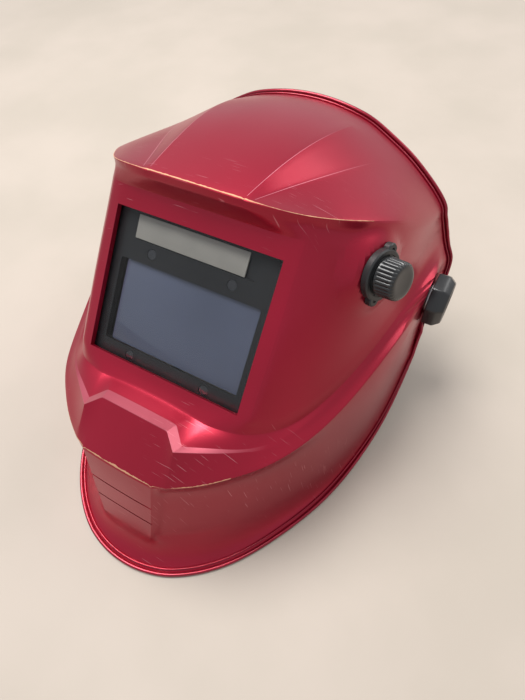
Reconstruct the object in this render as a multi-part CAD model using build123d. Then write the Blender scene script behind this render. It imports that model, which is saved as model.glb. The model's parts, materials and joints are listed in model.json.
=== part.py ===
"""Welding helmet with an auto-darkening filter and an adjustable headgear.

The helmet is drawn upright in its worn frame: the origin is the centre of the
window opening, X runs to the wearer's left, Y back into the helmet and Z up.
to_floor() then lays every piece down as the helmet rests on its lower rim.
Units are millimetres.
"""
import os
from math import asin, atan2, cos, degrees, radians, sin, sqrt

from build123d import *

# ---- shell -------------------------------------------------------------
WALL = 3.0                # moulded wall of the shell
RECLINE = 42.7            # lean of the window when the rim lies on the floor, degrees
CHIN_Y = 9.0              # foremost point of the rim, worn frame
CHIN_Z = -189.0
SIDE_HALF_WIDTH = 122.5   # half width of the shell behind the pivots
BROW_Z = 68.5             # height of the brow edge above the window centre
BROW_Y = -14.0            # how far the brow stands out in front of the window
CROWN_Z = 150.0           # height of the crown at its rear rim
CROWN_Y = 105.0           # rear rim of the crown
BACK_END = 185.0          # where the outlines are closed behind the rear rim

# ---- window and filter -------------------------------------------------
WINDOW_WIDTH = 110.0
WINDOW_HEIGHT = 90.0
FASCIA_HALF = 62.0        # half width of the flat face round the window
FIT_GAP = 0.3             # clearance of a piece that drops into another
COVER_LENS_MARGIN = 2.0   # overlap of the cover lens behind the opening
COVER_LENS_THICK = 1.2
CARTRIDGE_WIDTH = 114.0
CARTRIDGE_HEIGHT = 94.0
CARTRIDGE_DEPTH = 11.0
CARTRIDGE_FRONT = 5.2     # front face of the cartridge behind the window plane
GLASS_WIDTH = 98.0
GLASS_HEIGHT = 53.0
GLASS_Z = -11.0           # height of the centre of the filter glass
GLASS_THICK = 3.0
SOLAR_WIDTH = 82.0
SOLAR_HEIGHT = 13.0
SOLAR_Z = 35.0
SENSOR_RADIUS = 3.0
SENSOR_X = 28.0
SENSOR_LOW_Z = -42.5
SENSOR_HIGH_Z = 22.5
HOLDER_BORDER = 6.0       # holder frame above and below the cartridge
HOLDER_SIDE = 3.0         # holder frame beside the cartridge
BACK_LENS_THICK = 1.0
DIAL_RADIUS = 6.5
DIAL_PROUD = 3.0
STEM_RADIUS = 2.0
CONTROL_Z = 33.0          # height of the controls on the back of the cartridge
CAP_X = 39.0
CAP_RADIUS = 12.0         # battery cap, turned with a coin
CAP_DEPTH = 2.4           # part of the cap sunk into the cartridge
COIN_RADIUS = 10.0
COIN_THICK = 3.2
BUTTON_X = -45.0
BUTTON_RADIUS = 3.5
BUTTON_TRAVEL = 1.0
LATCH_WIDTH = 6.0
LATCH_REACH = 12.0
LATCH_THICK = 2.5
LATCH_X = 12.0
SCREW_RADIUS = 1.6

# ---- shade control -----------------------------------------------------
SHADE_X = 95.5
SHADE_Y = 40.0
SHADE_Z = 51.0
SHADE_TURN = 22.0         # how far the shade control faces forward, degrees
SHADE_PLATE_RADIUS = 15.0
SEAT_RADIUS = 21.5        # flat seat of the base plate on the shell
SEAT_THICK = 4.5
SHADE_PLATE_THICK = 3.0
SHADE_EAR = 19.5          # centre of a plate ear from the knob axis
SHADE_KNOB_RADIUS = 12.0
SHADE_KNOB_LENGTH = 13.5
SHADE_SHAFT_RADIUS = 3.0
SHADE_BUSH_RADIUS = 4.5
POT_RADIUS = 8.5
POT_DEPTH = 9.0
LEAD_RADIUS = 1.5
LEAD_X = 53.0             # where the lead enters the back of the cartridge
LEAD_Z = 14.0

# ---- pivots ------------------------------------------------------------
PIVOT_Y = 130.0
PIVOT_Z = 41.0
PAD_RADIUS = 20.0         # raised round seat on the shell
PAD_SINK = 3.5            # outer face of the seat inside the widest part of the shell
PAD_THICK = 6.5
BOLT_RADIUS = 4.9
BOLT_CLEAR = 0.3
TENSION_KNOB_RADIUS = 19.5
TENSION_KNOB_LENGTH = 13.0
WASHER_THICK = 1.2
FRICTION_THICK = 2.6
DISC_THICK = 2.8
BODY_GAP = 0.3            # air between pieces that turn past each other

# ---- headgear, drawn in its own frame with the pivot axis as origin -----
BAND_HALF_WIDTH = 78.0
BAND_FRONT = 85.0
BAND_THICK = 2.0
BAND_HEIGHT = 26.0
BAND_SIDE_END = 30.0
STRAP_THICK = 1.8
STRAP_HEIGHT = 22.0
TONGUE_HEIGHT = 6.0
TONGUE_Z = 8.0
PINION_RADIUS = 4.6
PINION_TEETH = 10
ARM_THICK = 3.0
ARM_HALF_LENGTH = 22.0
ARM_HALF_HEIGHT = 12.0
CROWN_STRAP_WIDTH = 20.0
CROWN_STRAP_TOP = 92.0
CROWN_STRAP_THICK = 1.8
CROWN_STRAP_LEAN = 1.2    # gap between a crown strap and the band above its foot
SWEAT_THICK = 5.0
SWEAT_HEIGHT = 32.0
HOUSING_WIDTH = 58.0
HOUSING_HEIGHT = 34.0
HOUSING_DEPTH = 9.0
RATCHET_KNOB_RADIUS = 21.0
RATCHET_KNOB_LENGTH = 15.0
REAR_PAD_WIDTH = 56.0
REAR_PAD_HEIGHT = 26.0
REAR_PAD_THICK = 6.0

BASE = (Align.CENTER, Align.CENTER, Align.MIN)
PAD_OUTER = SIDE_HALF_WIDTH - PAD_SINK
PAD_INNER = PAD_OUTER - PAD_THICK
OUTSIDE = PAD_OUTER + 21.0  # well clear of the shell, where the pivot bores end
SIN_R = sin(radians(RECLINE))
COS_R = cos(radians(RECLINE))


# ---- small helpers -----------------------------------------------------
def from_floor(back, up):
    """Worn-frame (Y, Z) of a point given as distance behind the chin and height."""
    return (CHIN_Y + COS_R * back - SIN_R * up, CHIN_Z + SIN_R * back + COS_R * up)


def rod_x(radius, x0, x1, y=0.0, z=0.0):
    """Cylinder along X between two X values."""
    return Pos((x0 + x1) / 2, y, z) * Rot(0, 90, 0) * Cylinder(radius, abs(x1 - x0))


def rod_y(radius, y0, y1, x=0.0, z=0.0):
    """Cylinder along Y between two Y values."""
    return Pos(x, (y0 + y1) / 2, z) * Rot(90, 0, 0) * Cylinder(radius, abs(y1 - y0))


def block(x0, x1, y0, y1, z0, z1):
    """Box between two corners."""
    middle = Pos((x0 + x1) / 2, (y0 + y1) / 2, (z0 + z1) / 2)
    return middle * Box(x1 - x0, y1 - y0, z1 - z0)


def plate_y(width, height, y0, y1, radius, z=0.0):
    """Plate across Y with rounded corners."""
    sketch = Plane.XZ * RectangleRounded(width, height, radius)
    return Pos(0, y1, z) * extrude(sketch, y1 - y0)


# ---- shell -------------------------------------------------------------
def mask_stations():
    """Height, front Y, flat half width, side point and rear half width."""
    wide = SIDE_HALF_WIDTH
    flat = FASCIA_HALF
    return [
        (CHIN_Z - 6, CHIN_Y - 1, 14, (72, 48), wide - 4.5),
        (-163, 5, 20, (74, 36), wide - 4.5),
        (-143, -2, 21, (84, 45), wide - 4.0),
        (-114, -16, 25, (84, 32), wide - 3.0),
        (-98, -24, 28, (78, 16), wide - 1.5),
        (-75, -21, 33, (84, 14), wide),
        (-50, -1, flat, (94, 32), wide + 0.5),
        (-17, 0, flat, (98, 45), wide + 0.5),
        (16, 0, flat, (98, 50), wide - 1.0),
        (45, 0, flat, (97, 46), wide - 3.5),
        (BROW_Z - 2, 0, flat, (97, 45), wide - 3.5),
    ]


def mask_outline(station, wall):
    """Closed outline of the mask at one height, drawn in by a wall thickness."""
    z, front, flat, side, rear = station
    y = front + wall
    half = flat - 0.45 * wall
    mx = side[0] - 0.75 * wall
    my = side[1] + 0.65 * wall
    w = rear - wall
    edges = [
        Line((-half, y), (half, y)),
        ThreePointArc((half, y), (mx, my), (w, PIVOT_Y + 5)),
        Line((w, PIVOT_Y + 5), (w, BACK_END)),
        Line((w, BACK_END), (-w, BACK_END)),
        Line((-w, BACK_END), (-w, PIVOT_Y + 5)),
        ThreePointArc((-w, PIVOT_Y + 5), (-mx, my), (-half, y)),
    ]
    return Pos(0, 0, z) * make_face(Wire(edges))


def crown_stations():
    """Y, half width, height of the side and height of the top of each arch."""
    wide = SIDE_HALF_WIDTH
    return [
        (BROW_Y, 56, BROW_Z - 1.5, BROW_Z),
        (0, 66, BROW_Z + 1, BROW_Z + 13),
        (20, 83, BROW_Z + 6, BROW_Z + 30),
        (45, 98, BROW_Z + 8, BROW_Z + 49),
        (75, 109, BROW_Z + 10, CROWN_Z - 14),
        (CROWN_Y, 115.5, BROW_Z + 12, CROWN_Z),
        (BACK_END - 15, wide - 3.5, BROW_Z + 12, CROWN_Z + 18),
    ]


def crown_outline(station, wall, bottom):
    """Closed arch of the crown at one Y, drawn in by a wall thickness."""
    y, half, side, top = station
    w = half - wall
    top = top - wall
    side = side - 0.5 * wall
    edges = [
        Line((-w, bottom), (w, bottom)),
        Line((w, bottom), (w, side)),
        ThreePointArc((w, side), (0, top), (-w, side)),
        Line((-w, side), (-w, bottom)),
    ]
    return Plane.XZ.offset(-y) * make_face(Wire(edges))


def side_profile():
    """Block as wide as the shell whose outline in side view is the shell's."""
    chin = from_floor(-70, 0)
    touch = from_floor(120, 0)
    lower = [touch, from_floor(163, 5), from_floor(196, 22), from_floor(226, 45), (143, 21),
             (153, 38), (156, 58), (148, 80), (124, 112), (CROWN_Y + 1, 140), (CROWN_Y, 165)]
    edge = Spline(lower, tangents=[(COS_R, SIN_R), (0, 1)])
    front = Polyline((CROWN_Y, 165), (CROWN_Y, 200), (-80, 200), chin, touch)
    face = make_face(Plane.YZ * Wire(edge.edges() + front.edges()))
    return Pos(-150, 0, 0) * extrude(face, 300, dir=(1, 0, 0))


def shade_frame():
    """Seat of the shade control: Z points out of the shell."""
    return Location((SHADE_X, SHADE_Y, SHADE_Z)) * Rot(0, 0, -SHADE_TURN) * Rot(0, 90, 0)


def make_shell():
    """Moulded shell with the window, the pivot seats and the shade control seat."""
    outer = loft([mask_outline(s, 0) for s in mask_stations()], ruled=True)
    outer += loft([crown_outline(s, 0, BROW_Z - 8) for s in crown_stations()], ruled=True)
    inner = loft([mask_outline(s, WALL) for s in mask_stations()], ruled=True)
    arches = [(y, w, a, b) for y, w, a, b in crown_stations() if y > WALL]
    arches.insert(0, (WALL + 2, 68, BROW_Z + 2, BROW_Z + 17))
    inner += loft([crown_outline(s, WALL, BROW_Z - 8) for s in arches], ruled=True)
    shell = (outer - inner) & side_profile()
    for side in (-1, 1):
        shell += rod_x(PAD_RADIUS, side * PAD_INNER, side * PAD_OUTER, PIVOT_Y, PIVOT_Z)
        shell -= rod_x(PAD_RADIUS - 3, side * 100, side * PAD_INNER, PIVOT_Y, PIVOT_Z)
        shell -= rod_x(PAD_RADIUS + 1.5, side * PAD_OUTER, side * OUTSIDE, PIVOT_Y, PIVOT_Z)
        hole = BOLT_RADIUS + BOLT_CLEAR
        shell -= rod_x(hole, side * 90, side * OUTSIDE, PIVOT_Y, PIVOT_Z)
    seat = shade_frame()
    shell += seat * Pos(0, 0, -SEAT_THICK) * Cylinder(SEAT_RADIUS, SEAT_THICK, align=BASE)
    shell -= seat * Cylinder(SEAT_RADIUS, 20, align=BASE)
    shell -= seat * Pos(0, 0, -20 - SEAT_THICK) * Cylinder(SEAT_RADIUS - 4, 20, align=BASE)
    shell -= seat * Cylinder(SHADE_BUSH_RADIUS + FIT_GAP, 60)
    shell -= Pos(0, 30, 0) * plate_y(WINDOW_WIDTH, WINDOW_HEIGHT, -60, 0, 2.5)
    return shell



# ---- window and filter -------------------------------------------------
def make_cover_lens():
    """Clear front plate that lies against the back of the window opening."""
    width = WINDOW_WIDTH + 2 * COVER_LENS_MARGIN
    height = WINDOW_HEIGHT + 2 * COVER_LENS_MARGIN
    front = WALL + FIT_GAP
    return plate_y(width, height, front, front + COVER_LENS_THICK, 3)


def cartridge_back():
    """Y of the rear face of the cartridge."""
    return CARTRIDGE_FRONT + CARTRIDGE_DEPTH


def make_cartridge():
    """Filter housing with pockets for the glass, the cell, the board and the drawer."""
    back = cartridge_back()
    body = plate_y(CARTRIDGE_WIDTH, CARTRIDGE_HEIGHT, CARTRIDGE_FRONT, back, 3)
    view = plate_y(GLASS_WIDTH, GLASS_HEIGHT, CARTRIDGE_FRONT - 1, back + 1, 1.5, GLASS_Z)
    ledge = plate_y(GLASS_WIDTH + 4, GLASS_HEIGHT + 4, glass_front(), back + 1, 1.5, GLASS_Z)
    body -= view + ledge
    body -= plate_y(SOLAR_WIDTH, SOLAR_HEIGHT, CARTRIDGE_FRONT - 1, CARTRIDGE_FRONT + 1.5, 1, SOLAR_Z)
    for x, z in sensor_places():
        body -= rod_y(SENSOR_RADIUS + FIT_GAP, CARTRIDGE_FRONT - 1, CARTRIDGE_FRONT + 2.5, x, z)
    body -= block(*board_box(FIT_GAP))
    body -= rod_y(CAP_RADIUS + BODY_GAP, back - CAP_DEPTH - BODY_GAP, back + 1, CAP_X, CONTROL_Z)
    body -= rod_y(COIN_RADIUS + FIT_GAP, coin_front() - FIT_GAP, back, CAP_X, CONTROL_Z)
    body -= rod_y(BUTTON_RADIUS + BODY_GAP, back - 3 - BUTTON_TRAVEL, back + 1, BUTTON_X, CONTROL_Z)
    for x in dial_places():
        body -= rod_y(STEM_RADIUS + BODY_GAP, back - 3, back + 1, x, CONTROL_Z)
    return body


def coin_front():
    """Y of the front of the coin cell."""
    return cartridge_back() - CAP_DEPTH - BODY_GAP - 0.3 - COIN_THICK


def glass_front():
    """Y of the front of the filter glass."""
    return CARTRIDGE_FRONT + 1.5


def make_filter_glass():
    """Liquid crystal filter block, dropped in from behind."""
    front = glass_front()
    width = GLASS_WIDTH + 4 - 2 * FIT_GAP
    height = GLASS_HEIGHT + 4 - 2 * FIT_GAP
    return plate_y(width, height, front, front + GLASS_THICK, 1.5, GLASS_Z)


def make_back_lens():
    """Thin inner cover plate behind the filter glass."""
    front = glass_front() + GLASS_THICK + 2
    width = GLASS_WIDTH + 4 - 2 * FIT_GAP
    return plate_y(width, GLASS_HEIGHT + 3, front, front + BACK_LENS_THICK, 1.5, GLASS_Z)


def make_solar_cell():
    """Solar strip above the filter glass."""
    front = CARTRIDGE_FRONT + 0.2
    width = SOLAR_WIDTH - 2 * FIT_GAP
    return plate_y(width, SOLAR_HEIGHT - 2 * FIT_GAP, front, front + 1.2, 1, SOLAR_Z)


def sensor_places():
    """Places of the four arc sensors."""
    return [(x, z) for z in (SENSOR_LOW_Z, SENSOR_HIGH_Z) for x in (-SENSOR_X, SENSOR_X)]


def make_sensors():
    """Four arc sensors in the front of the cartridge."""
    front = CARTRIDGE_FRONT + 0.2
    return [rod_y(SENSOR_RADIUS, front, front + 2.2, x, z) for x, z in sensor_places()]


def board_box(gap):
    """Corners of the circuit board behind the solar strip, grown by a gap."""
    y = CARTRIDGE_FRONT + 3.4
    return (-40 - gap, 20 + gap, y - gap, y + 1.6 + gap, 28.5 - gap, 41 + gap)


def dial_places():
    """X of the two small dials on the back of the cartridge."""
    return [-28.0, -6.0]


def make_battery_cap():
    """Round battery cap with a coin slot."""
    back = cartridge_back()
    cap = rod_y(CAP_RADIUS, back - CAP_DEPTH, back + 1.2, CAP_X, CONTROL_Z)
    slot = block(CAP_X - 8, CAP_X + 8, back + 0.2, back + 2, CONTROL_Z - 1, CONTROL_Z + 1)
    return cap - slot


def make_coin_cell():
    """Coin cell under the battery cap."""
    return rod_y(COIN_RADIUS, coin_front(), coin_front() + COIN_THICK, CAP_X, CONTROL_Z)


def make_test_button():
    """Push button that tests the filter."""
    back = cartridge_back()
    return rod_y(BUTTON_RADIUS, back - 3, back + 2, BUTTON_X, CONTROL_Z)


def make_dial(x):
    """Small dial with a screwdriver slot and its stem."""
    back = cartridge_back()
    dial = rod_y(DIAL_RADIUS, back + BODY_GAP, back + DIAL_PROUD, x, CONTROL_Z)
    dial += rod_y(STEM_RADIUS, back - 2.5, back + 1, x, CONTROL_Z)
    slot = block(x - 4.5, x + 4.5, back + DIAL_PROUD - 1.2, back + 5, CONTROL_Z - 0.8, CONTROL_Z + 0.8)
    return dial - slot


def holder_size():
    """Outer width and height of the holder frame."""
    width = CARTRIDGE_WIDTH + 2 * (FIT_GAP + HOLDER_SIDE)
    return width, CARTRIDGE_HEIGHT + 2 * (FIT_GAP + HOLDER_BORDER)


def make_holder():
    """Frame that locates the lens and the cartridge behind the window."""
    width, height = holder_size()
    back = holder_back()
    body = plate_y(width, height, WALL + FIT_GAP, back, 4)
    body -= plate_y(CARTRIDGE_WIDTH + 2 * FIT_GAP, CARTRIDGE_HEIGHT + 2 * FIT_GAP, 0, back + 1, 3)
    for x, z, turn in latch_places():
        body -= rod_y(SCREW_RADIUS + 0.02, back - 6, back + 1, x, z)
    return body


def holder_back():
    """Y of the rear face of the holder frame."""
    return cartridge_back() + 0.6


def latch_places():
    """X, Z and turn of the two latches that keep the cartridge in."""
    z = CARTRIDGE_HEIGHT / 2 + FIT_GAP + HOLDER_BORDER / 2
    return [(LATCH_X, z, 0), (0.0, -z, 180)]


def make_latch(place):
    """Turn latch that reaches over the back of the cartridge."""
    x, z, turn = place
    front = holder_back() + BODY_GAP
    half = LATCH_WIDTH / 2
    arm = block(-half, half, front, front + LATCH_THICK, -LATCH_REACH, 0)
    arm += rod_y(half, front, front + LATCH_THICK) + rod_y(half, front, front + LATCH_THICK, 0, -LATCH_REACH)
    arm -= rod_y(SCREW_RADIUS + 0.08, front - 1, front + 10)
    return Pos(x, 0, z) * Rot(0, turn, 0) * arm


def make_latch_screws():
    """Shouldered screws that the two latches turn on."""
    front = holder_back()
    head = front + BODY_GAP + LATCH_THICK + BODY_GAP
    screws = []
    for x, z, turn in latch_places():
        screw = rod_y(SCREW_RADIUS, front - 5, head + 0.5, x, z)
        screws.append(screw + rod_y(2.9, head, head + 1.6, x, z))
    return screws


# ---- shade control -----------------------------------------------------
def make_shade_plate():
    """Base plate of the shade control with an ear above and below."""
    seat = shade_frame()
    plate = Pos(0, 0, 0.1) * Cylinder(SHADE_PLATE_RADIUS, SHADE_PLATE_THICK, align=BASE)
    for side in (-1, 1):
        plate += Pos(side * (SHADE_EAR - 4), 0, 0.1) * Box(9, 9, SHADE_PLATE_THICK - 0.8, align=BASE)
    plate -= Cylinder(SHADE_BUSH_RADIUS + FIT_GAP, 20)
    return seat * plate


def make_pot():
    """Potentiometer inside the shell with its bush through the wall."""
    seat = shade_frame()
    body = Pos(0, 0, -5.0 - POT_DEPTH) * Cylinder(POT_RADIUS, POT_DEPTH, align=BASE)
    body += Pos(0, 0, -5.5) * Cylinder(SHADE_BUSH_RADIUS, 5.5 + SHADE_PLATE_THICK + 2.6, align=BASE)
    body -= Pos(0, 0, -8) * Cylinder(SHADE_SHAFT_RADIUS + 0.1, 30, align=BASE)
    return seat * body


def make_pot_nut():
    """Hexagon nut that clamps the potentiometer and the base plate."""
    ring = extrude(RegularPolygon(6.6, 6), 2.0) - Cylinder(SHADE_BUSH_RADIUS + 0.05, 20)
    return shade_frame() * Pos(0, 0, SHADE_PLATE_THICK + 0.2) * ring


def make_shade_knob():
    """Fluted knob, hollow over the nut, with its shaft."""
    low = SHADE_PLATE_THICK + 0.4
    knob = Pos(0, 0, low) * Cylinder(SHADE_KNOB_RADIUS, SHADE_KNOB_LENGTH, align=BASE)
    knob = chamfer(knob.edges().sort_by(Axis.Z)[-1:], 1.2)
    knob -= Pos(0, 0, low - 1) * Cylinder(8.2, 4.2, align=BASE)
    groove = Pos(SHADE_KNOB_RADIUS + 0.3, 0, low + 2) * Cylinder(0.8, 20, align=BASE)
    for i in range(24):
        knob -= Rot(0, 0, i * 15) * groove
    knob += Pos(0, 0, -7.5) * Cylinder(SHADE_SHAFT_RADIUS, low + 12, align=BASE)
    return shade_frame() * knob


def make_shade_lead():
    """Lead from the potentiometer to the back of the cartridge, held at both ends."""
    back = cartridge_back()
    seat = shade_frame()
    tip = seat * Pos(5, 0, -5.0 - POT_DEPTH)
    start = tip.position
    inward = Vector(-cos(radians(SHADE_TURN)), sin(radians(SHADE_TURN)), 0)
    points = [
        start,
        start + inward * 7,
        Vector(LEAD_X + 9, back + 23, LEAD_Z - 6),
        Vector(LEAD_X, back + 12, LEAD_Z),
        Vector(LEAD_X, back, LEAD_Z),
    ]
    path = FilletPolyline(*points, radius=tube_radii(points))
    return sweep(Plane(origin=points[0], z_dir=inward) * Circle(LEAD_RADIUS), path=path)


def tube_radii(points):
    """Radius of each corner of a tube, as large as its two runs allow."""
    radii = []
    for a, b, c in zip(points, points[1:], points[2:]):
        turn = radians((b - a).get_angle(c - b))
        short = min((b - a).length, (c - b).length)
        radii.append(0.45 * short / sin(turn / 2) * cos(turn / 2))
    return radii


# ---- pivots ------------------------------------------------------------
def make_friction_washer(side):
    """Washer between the shell seat and the stop disc."""
    x0 = side * (PAD_INNER - FRICTION_THICK)
    ring = rod_x(14, x0, side * (PAD_INNER - 0.02), PIVOT_Y, PIVOT_Z)
    return ring - rod_x(BOLT_RADIUS + BOLT_CLEAR, side * 90, side * OUTSIDE, PIVOT_Y, PIVOT_Z)


def disc_span():
    """X of the inner and outer face of the stop disc."""
    outer = PAD_INNER - FRICTION_THICK - BODY_GAP
    return outer - DISC_THICK, outer


def make_stop_disc(side):
    """Toothed disc that limits how far the headgear swings."""
    x0, x1 = disc_span()
    disc = rod_x(13, side * x0, side * x1)
    for i in range(16):
        disc -= Rot(i * 22.5, 0, 0) * rod_x(0.9, side * (x0 - 1), side * (x1 + 1), 13.2, 0)
    disc += block(*sorted((side * x0, side * x1)), 11, 18, -3, 3)
    return disc - rod_x(BOLT_RADIUS + 0.02, side * 90, side * OUTSIDE)


def make_bolt(side):
    """Pivot bolt with its head inside the arm."""
    x0 = disc_span()[0] - ARM_THICK
    bolt = rod_x(9, side * (x0 - 3.2), side * (x0 - 0.02))
    return bolt + rod_x(BOLT_RADIUS, side * (x0 - 0.1), side * (PAD_OUTER + 12))


def make_arm(side):
    """Side arm that carries the headband away from the pivot."""
    x1 = disc_span()[0] - 0.02
    x0 = x1 - ARM_THICK
    high = ARM_HALF_HEIGHT
    long = ARM_HALF_LENGTH
    root = BAND_HALF_WIDTH + 0.05
    arm = block(*sorted((side * x0, side * x1)), -long, long, -high, high)
    for end in (-1, 1):
        y = end * (long - 1.5)
        arm += block(*sorted((side * root, side * x1)), y - 1.5, y + 1.5, -high + 2, high - 2)
    return arm - rod_x(BOLT_RADIUS + 0.02, side * 70, side * OUTSIDE)


def make_tension_knob(side):
    """Large eight-sided knob with a bevelled rim, screwed on the bolt."""
    x0 = PAD_OUTER + BODY_GAP + WASHER_THICK + 0.02
    shape = extrude(RegularPolygon(TENSION_KNOB_RADIUS, 8), TENSION_KNOB_LENGTH)
    shape = chamfer(shape.edges().group_by(Axis.Z)[-1], 2.5)
    shape = chamfer(shape.edges().group_by(Axis.Z)[0], 1.0)
    knob = Pos(side * x0, 0, 0) * Rot(0, side * 90, 0) * Rot(0, 0, 22.5) * shape
    bore = rod_x(BOLT_RADIUS + 0.05, side * 90, side * (PAD_OUTER + 12.5))
    return knob - bore


def make_spring_washer(side):
    """Spring washer under the tension knob."""
    x0 = PAD_OUTER + BODY_GAP
    ring = rod_x(10, side * x0, side * (x0 + WASHER_THICK))
    return ring - rod_x(BOLT_RADIUS + 0.05, side * 90, side * OUTSIDE)


# ---- headgear ----------------------------------------------------------
def band_outline(grow):
    """Front half of the headband as a filled outline, grown outwards."""
    half = BAND_HALF_WIDTH + grow
    oval = Ellipse(half, BAND_FRONT + grow) & Pos(0, -BAND_FRONT) * Rectangle(4 * half, 2 * BAND_FRONT)
    return oval + Pos(0, BAND_SIDE_END / 2) * Rectangle(2 * half, BAND_SIDE_END)


def ring_between(outer, inner, height):
    """Upright wall between two outlines, centred on the band plane."""
    cut = Pos(0, BAND_SIDE_END) * Rectangle(400, 2)
    return Pos(0, 0, -height / 2) * extrude(outer - inner - cut, height)


def make_front_band():
    """Front half of the headband."""
    return ring_between(band_outline(0), band_outline(-BAND_THICK), BAND_HEIGHT)


def make_sweatband():
    """Soft pad inside the forehead."""
    outer = band_outline(-BAND_THICK - FIT_GAP)
    inner = band_outline(-BAND_THICK - FIT_GAP - SWEAT_THICK)
    front = Pos(0, -BAND_FRONT) * Rectangle(150, 2 * (BAND_FRONT - 32))
    ring = (outer - inner) & front
    return Pos(0, 0, -SWEAT_HEIGHT / 2) * extrude(ring, SWEAT_HEIGHT)


def strap_radius():
    """Outer radius of the rear straps, which run on from the sides of the band."""
    return BAND_HALF_WIDTH


def make_rear_strap(side):
    """Toothed rear strap; its tongue passes above or below the pinion."""
    outer = strap_radius()
    inner = outer - STRAP_THICK
    y = BAND_SIDE_END
    ring = Circle(outer) - Circle(inner)
    full = ring & Pos(side * 100 + side * 29, 100) * Rectangle(200, 200)
    tongue = ring & Pos(side * 4, 100) * Rectangle(50, 200)
    strap = Pos(0, y, -STRAP_HEIGHT / 2) * extrude(full, STRAP_HEIGHT)
    strip = Pos(0, y, side * TONGUE_Z - TONGUE_HEIGHT / 2) * extrude(tongue, TONGUE_HEIGHT)
    return strap + strip


def rear_y():
    """Y of the outer face of the straps at the back of the head."""
    return BAND_SIDE_END + strap_radius()


def make_ratchet_housing():
    """Box at the back of the head that the straps and the pinion run in."""
    y0 = rear_y() - STRAP_THICK - 6
    y1 = y0 + HOUSING_DEPTH + 4
    body = block(-HOUSING_WIDTH / 2, HOUSING_WIDTH / 2, y0, y1, -HOUSING_HEIGHT / 2, HOUSING_HEIGHT / 2)
    body = fillet(body.edges().filter_by(Axis.Y), 6)
    ring = Circle(strap_radius() + 0.3) - Circle(strap_radius() - STRAP_THICK - 0.3)
    tall = STRAP_HEIGHT + 0.6
    body -= Pos(0, BAND_SIDE_END, -tall / 2) * extrude(ring, tall)
    body -= rod_y(PINION_RADIUS + 0.3, rear_y() - 3.2, rear_y() + 1)
    return body - rod_y(2.6, rear_y() - 4, rear_y() + 20)


def make_pinion():
    """Pinion between the two toothed tongues, with its shaft to the knob."""
    y = rear_y()
    gear = rod_y(PINION_RADIUS, y - 2.6, y + 0.4)
    for i in range(PINION_TEETH):
        angle = i * 360 / PINION_TEETH
        gear -= Rot(0, angle, 0) * rod_y(0.8, y - 4, y + 2, PINION_RADIUS, 0)
    return gear + rod_y(2.5, y, housing_back() + 6)


def housing_back():
    """Y of the rear face of the ratchet housing."""
    return rear_y() - STRAP_THICK - 6 + HOUSING_DEPTH + 4


def make_ratchet_knob():
    """Knob at the back of the head with finger grips."""
    y = housing_back() + BODY_GAP
    knob = rod_y(RATCHET_KNOB_RADIUS, y, y + RATCHET_KNOB_LENGTH)
    for i in range(12):
        knob -= Rot(0, i * 30 + 15, 0) * rod_y(2.4, y + 2, y + 40, RATCHET_KNOB_RADIUS + 0.8, 0)
    return knob - rod_y(2.52, y - 1, housing_back() + 6.02)


def make_rear_pad():
    """Soft pad in front of the ratchet housing."""
    y1 = rear_y() - STRAP_THICK - 6.4
    return plate_y(REAR_PAD_WIDTH, REAR_PAD_HEIGHT, y1 - REAR_PAD_THICK, y1, 8)


def make_crown_strap(side):
    """Strap over the top of the head from one side of the band."""
    drop = 0 if side > 0 else CROWN_STRAP_THICK + 0.4
    half = BAND_HALF_WIDTH + CROWN_STRAP_LEAN + CROWN_STRAP_THICK
    top = CROWN_STRAP_TOP - drop
    ring = Ellipse(half, top) - Ellipse(half - CROWN_STRAP_THICK, top - CROWN_STRAP_THICK)
    keep = Pos(side * 85, 100) * Rectangle(200, 200)
    sketch = Plane.XZ * (ring & keep)
    strap = Pos(0, CROWN_STRAP_WIDTH / 2, 0) * extrude(sketch, CROWN_STRAP_WIDTH)
    foot = block(*sorted((side * (BAND_HALF_WIDTH + 0.05), side * half)), -10, 10, -8, 0.5)
    hole = Pos(0, 0, CROWN_STRAP_TOP) * Cylinder(3.1, 30)
    return strap + foot - hole


def make_crown_peg():
    """Peg that locks the two crown straps together."""
    peg = Pos(0, 0, CROWN_STRAP_TOP - 7) * Cylinder(3.0, 7.2, align=BASE)
    peg += Pos(0, 0, CROWN_STRAP_TOP + 0.1) * Cylinder(6.0, 1.8, align=BASE)
    return peg + Pos(0, 0, CROWN_STRAP_TOP - 7) * Cylinder(5.0, 1.6, align=BASE)


# ---- putting it together -----------------------------------------------
def rest_slope():
    """Slope of the headgear, in degrees, with its rear knob resting on the floor."""
    height = -SIN_R * (PIVOT_Y - CHIN_Y) + COS_R * (PIVOT_Z - CHIN_Z)
    reach = housing_back() + BODY_GAP + RATCHET_KNOB_LENGTH
    corner = sqrt(reach**2 + RATCHET_KNOB_RADIUS**2)
    return degrees(asin(height / corner) - atan2(RATCHET_KNOB_RADIUS, reach))


def hang(shape):
    """Place a headgear piece on the pivot axis in the worn frame."""
    return Pos(0, PIVOT_Y, PIVOT_Z) * Rot(RECLINE - rest_slope(), 0, 0) * shape


def to_floor(shape, shift=0.0):
    """Turn a worn-frame piece to lie on its rim, with the rim on Z = 0."""
    return Pos(0, -shift, 0) * Rot(-RECLINE, 0, 0) * Pos(0, -CHIN_Y, -CHIN_Z) * shape


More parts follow.
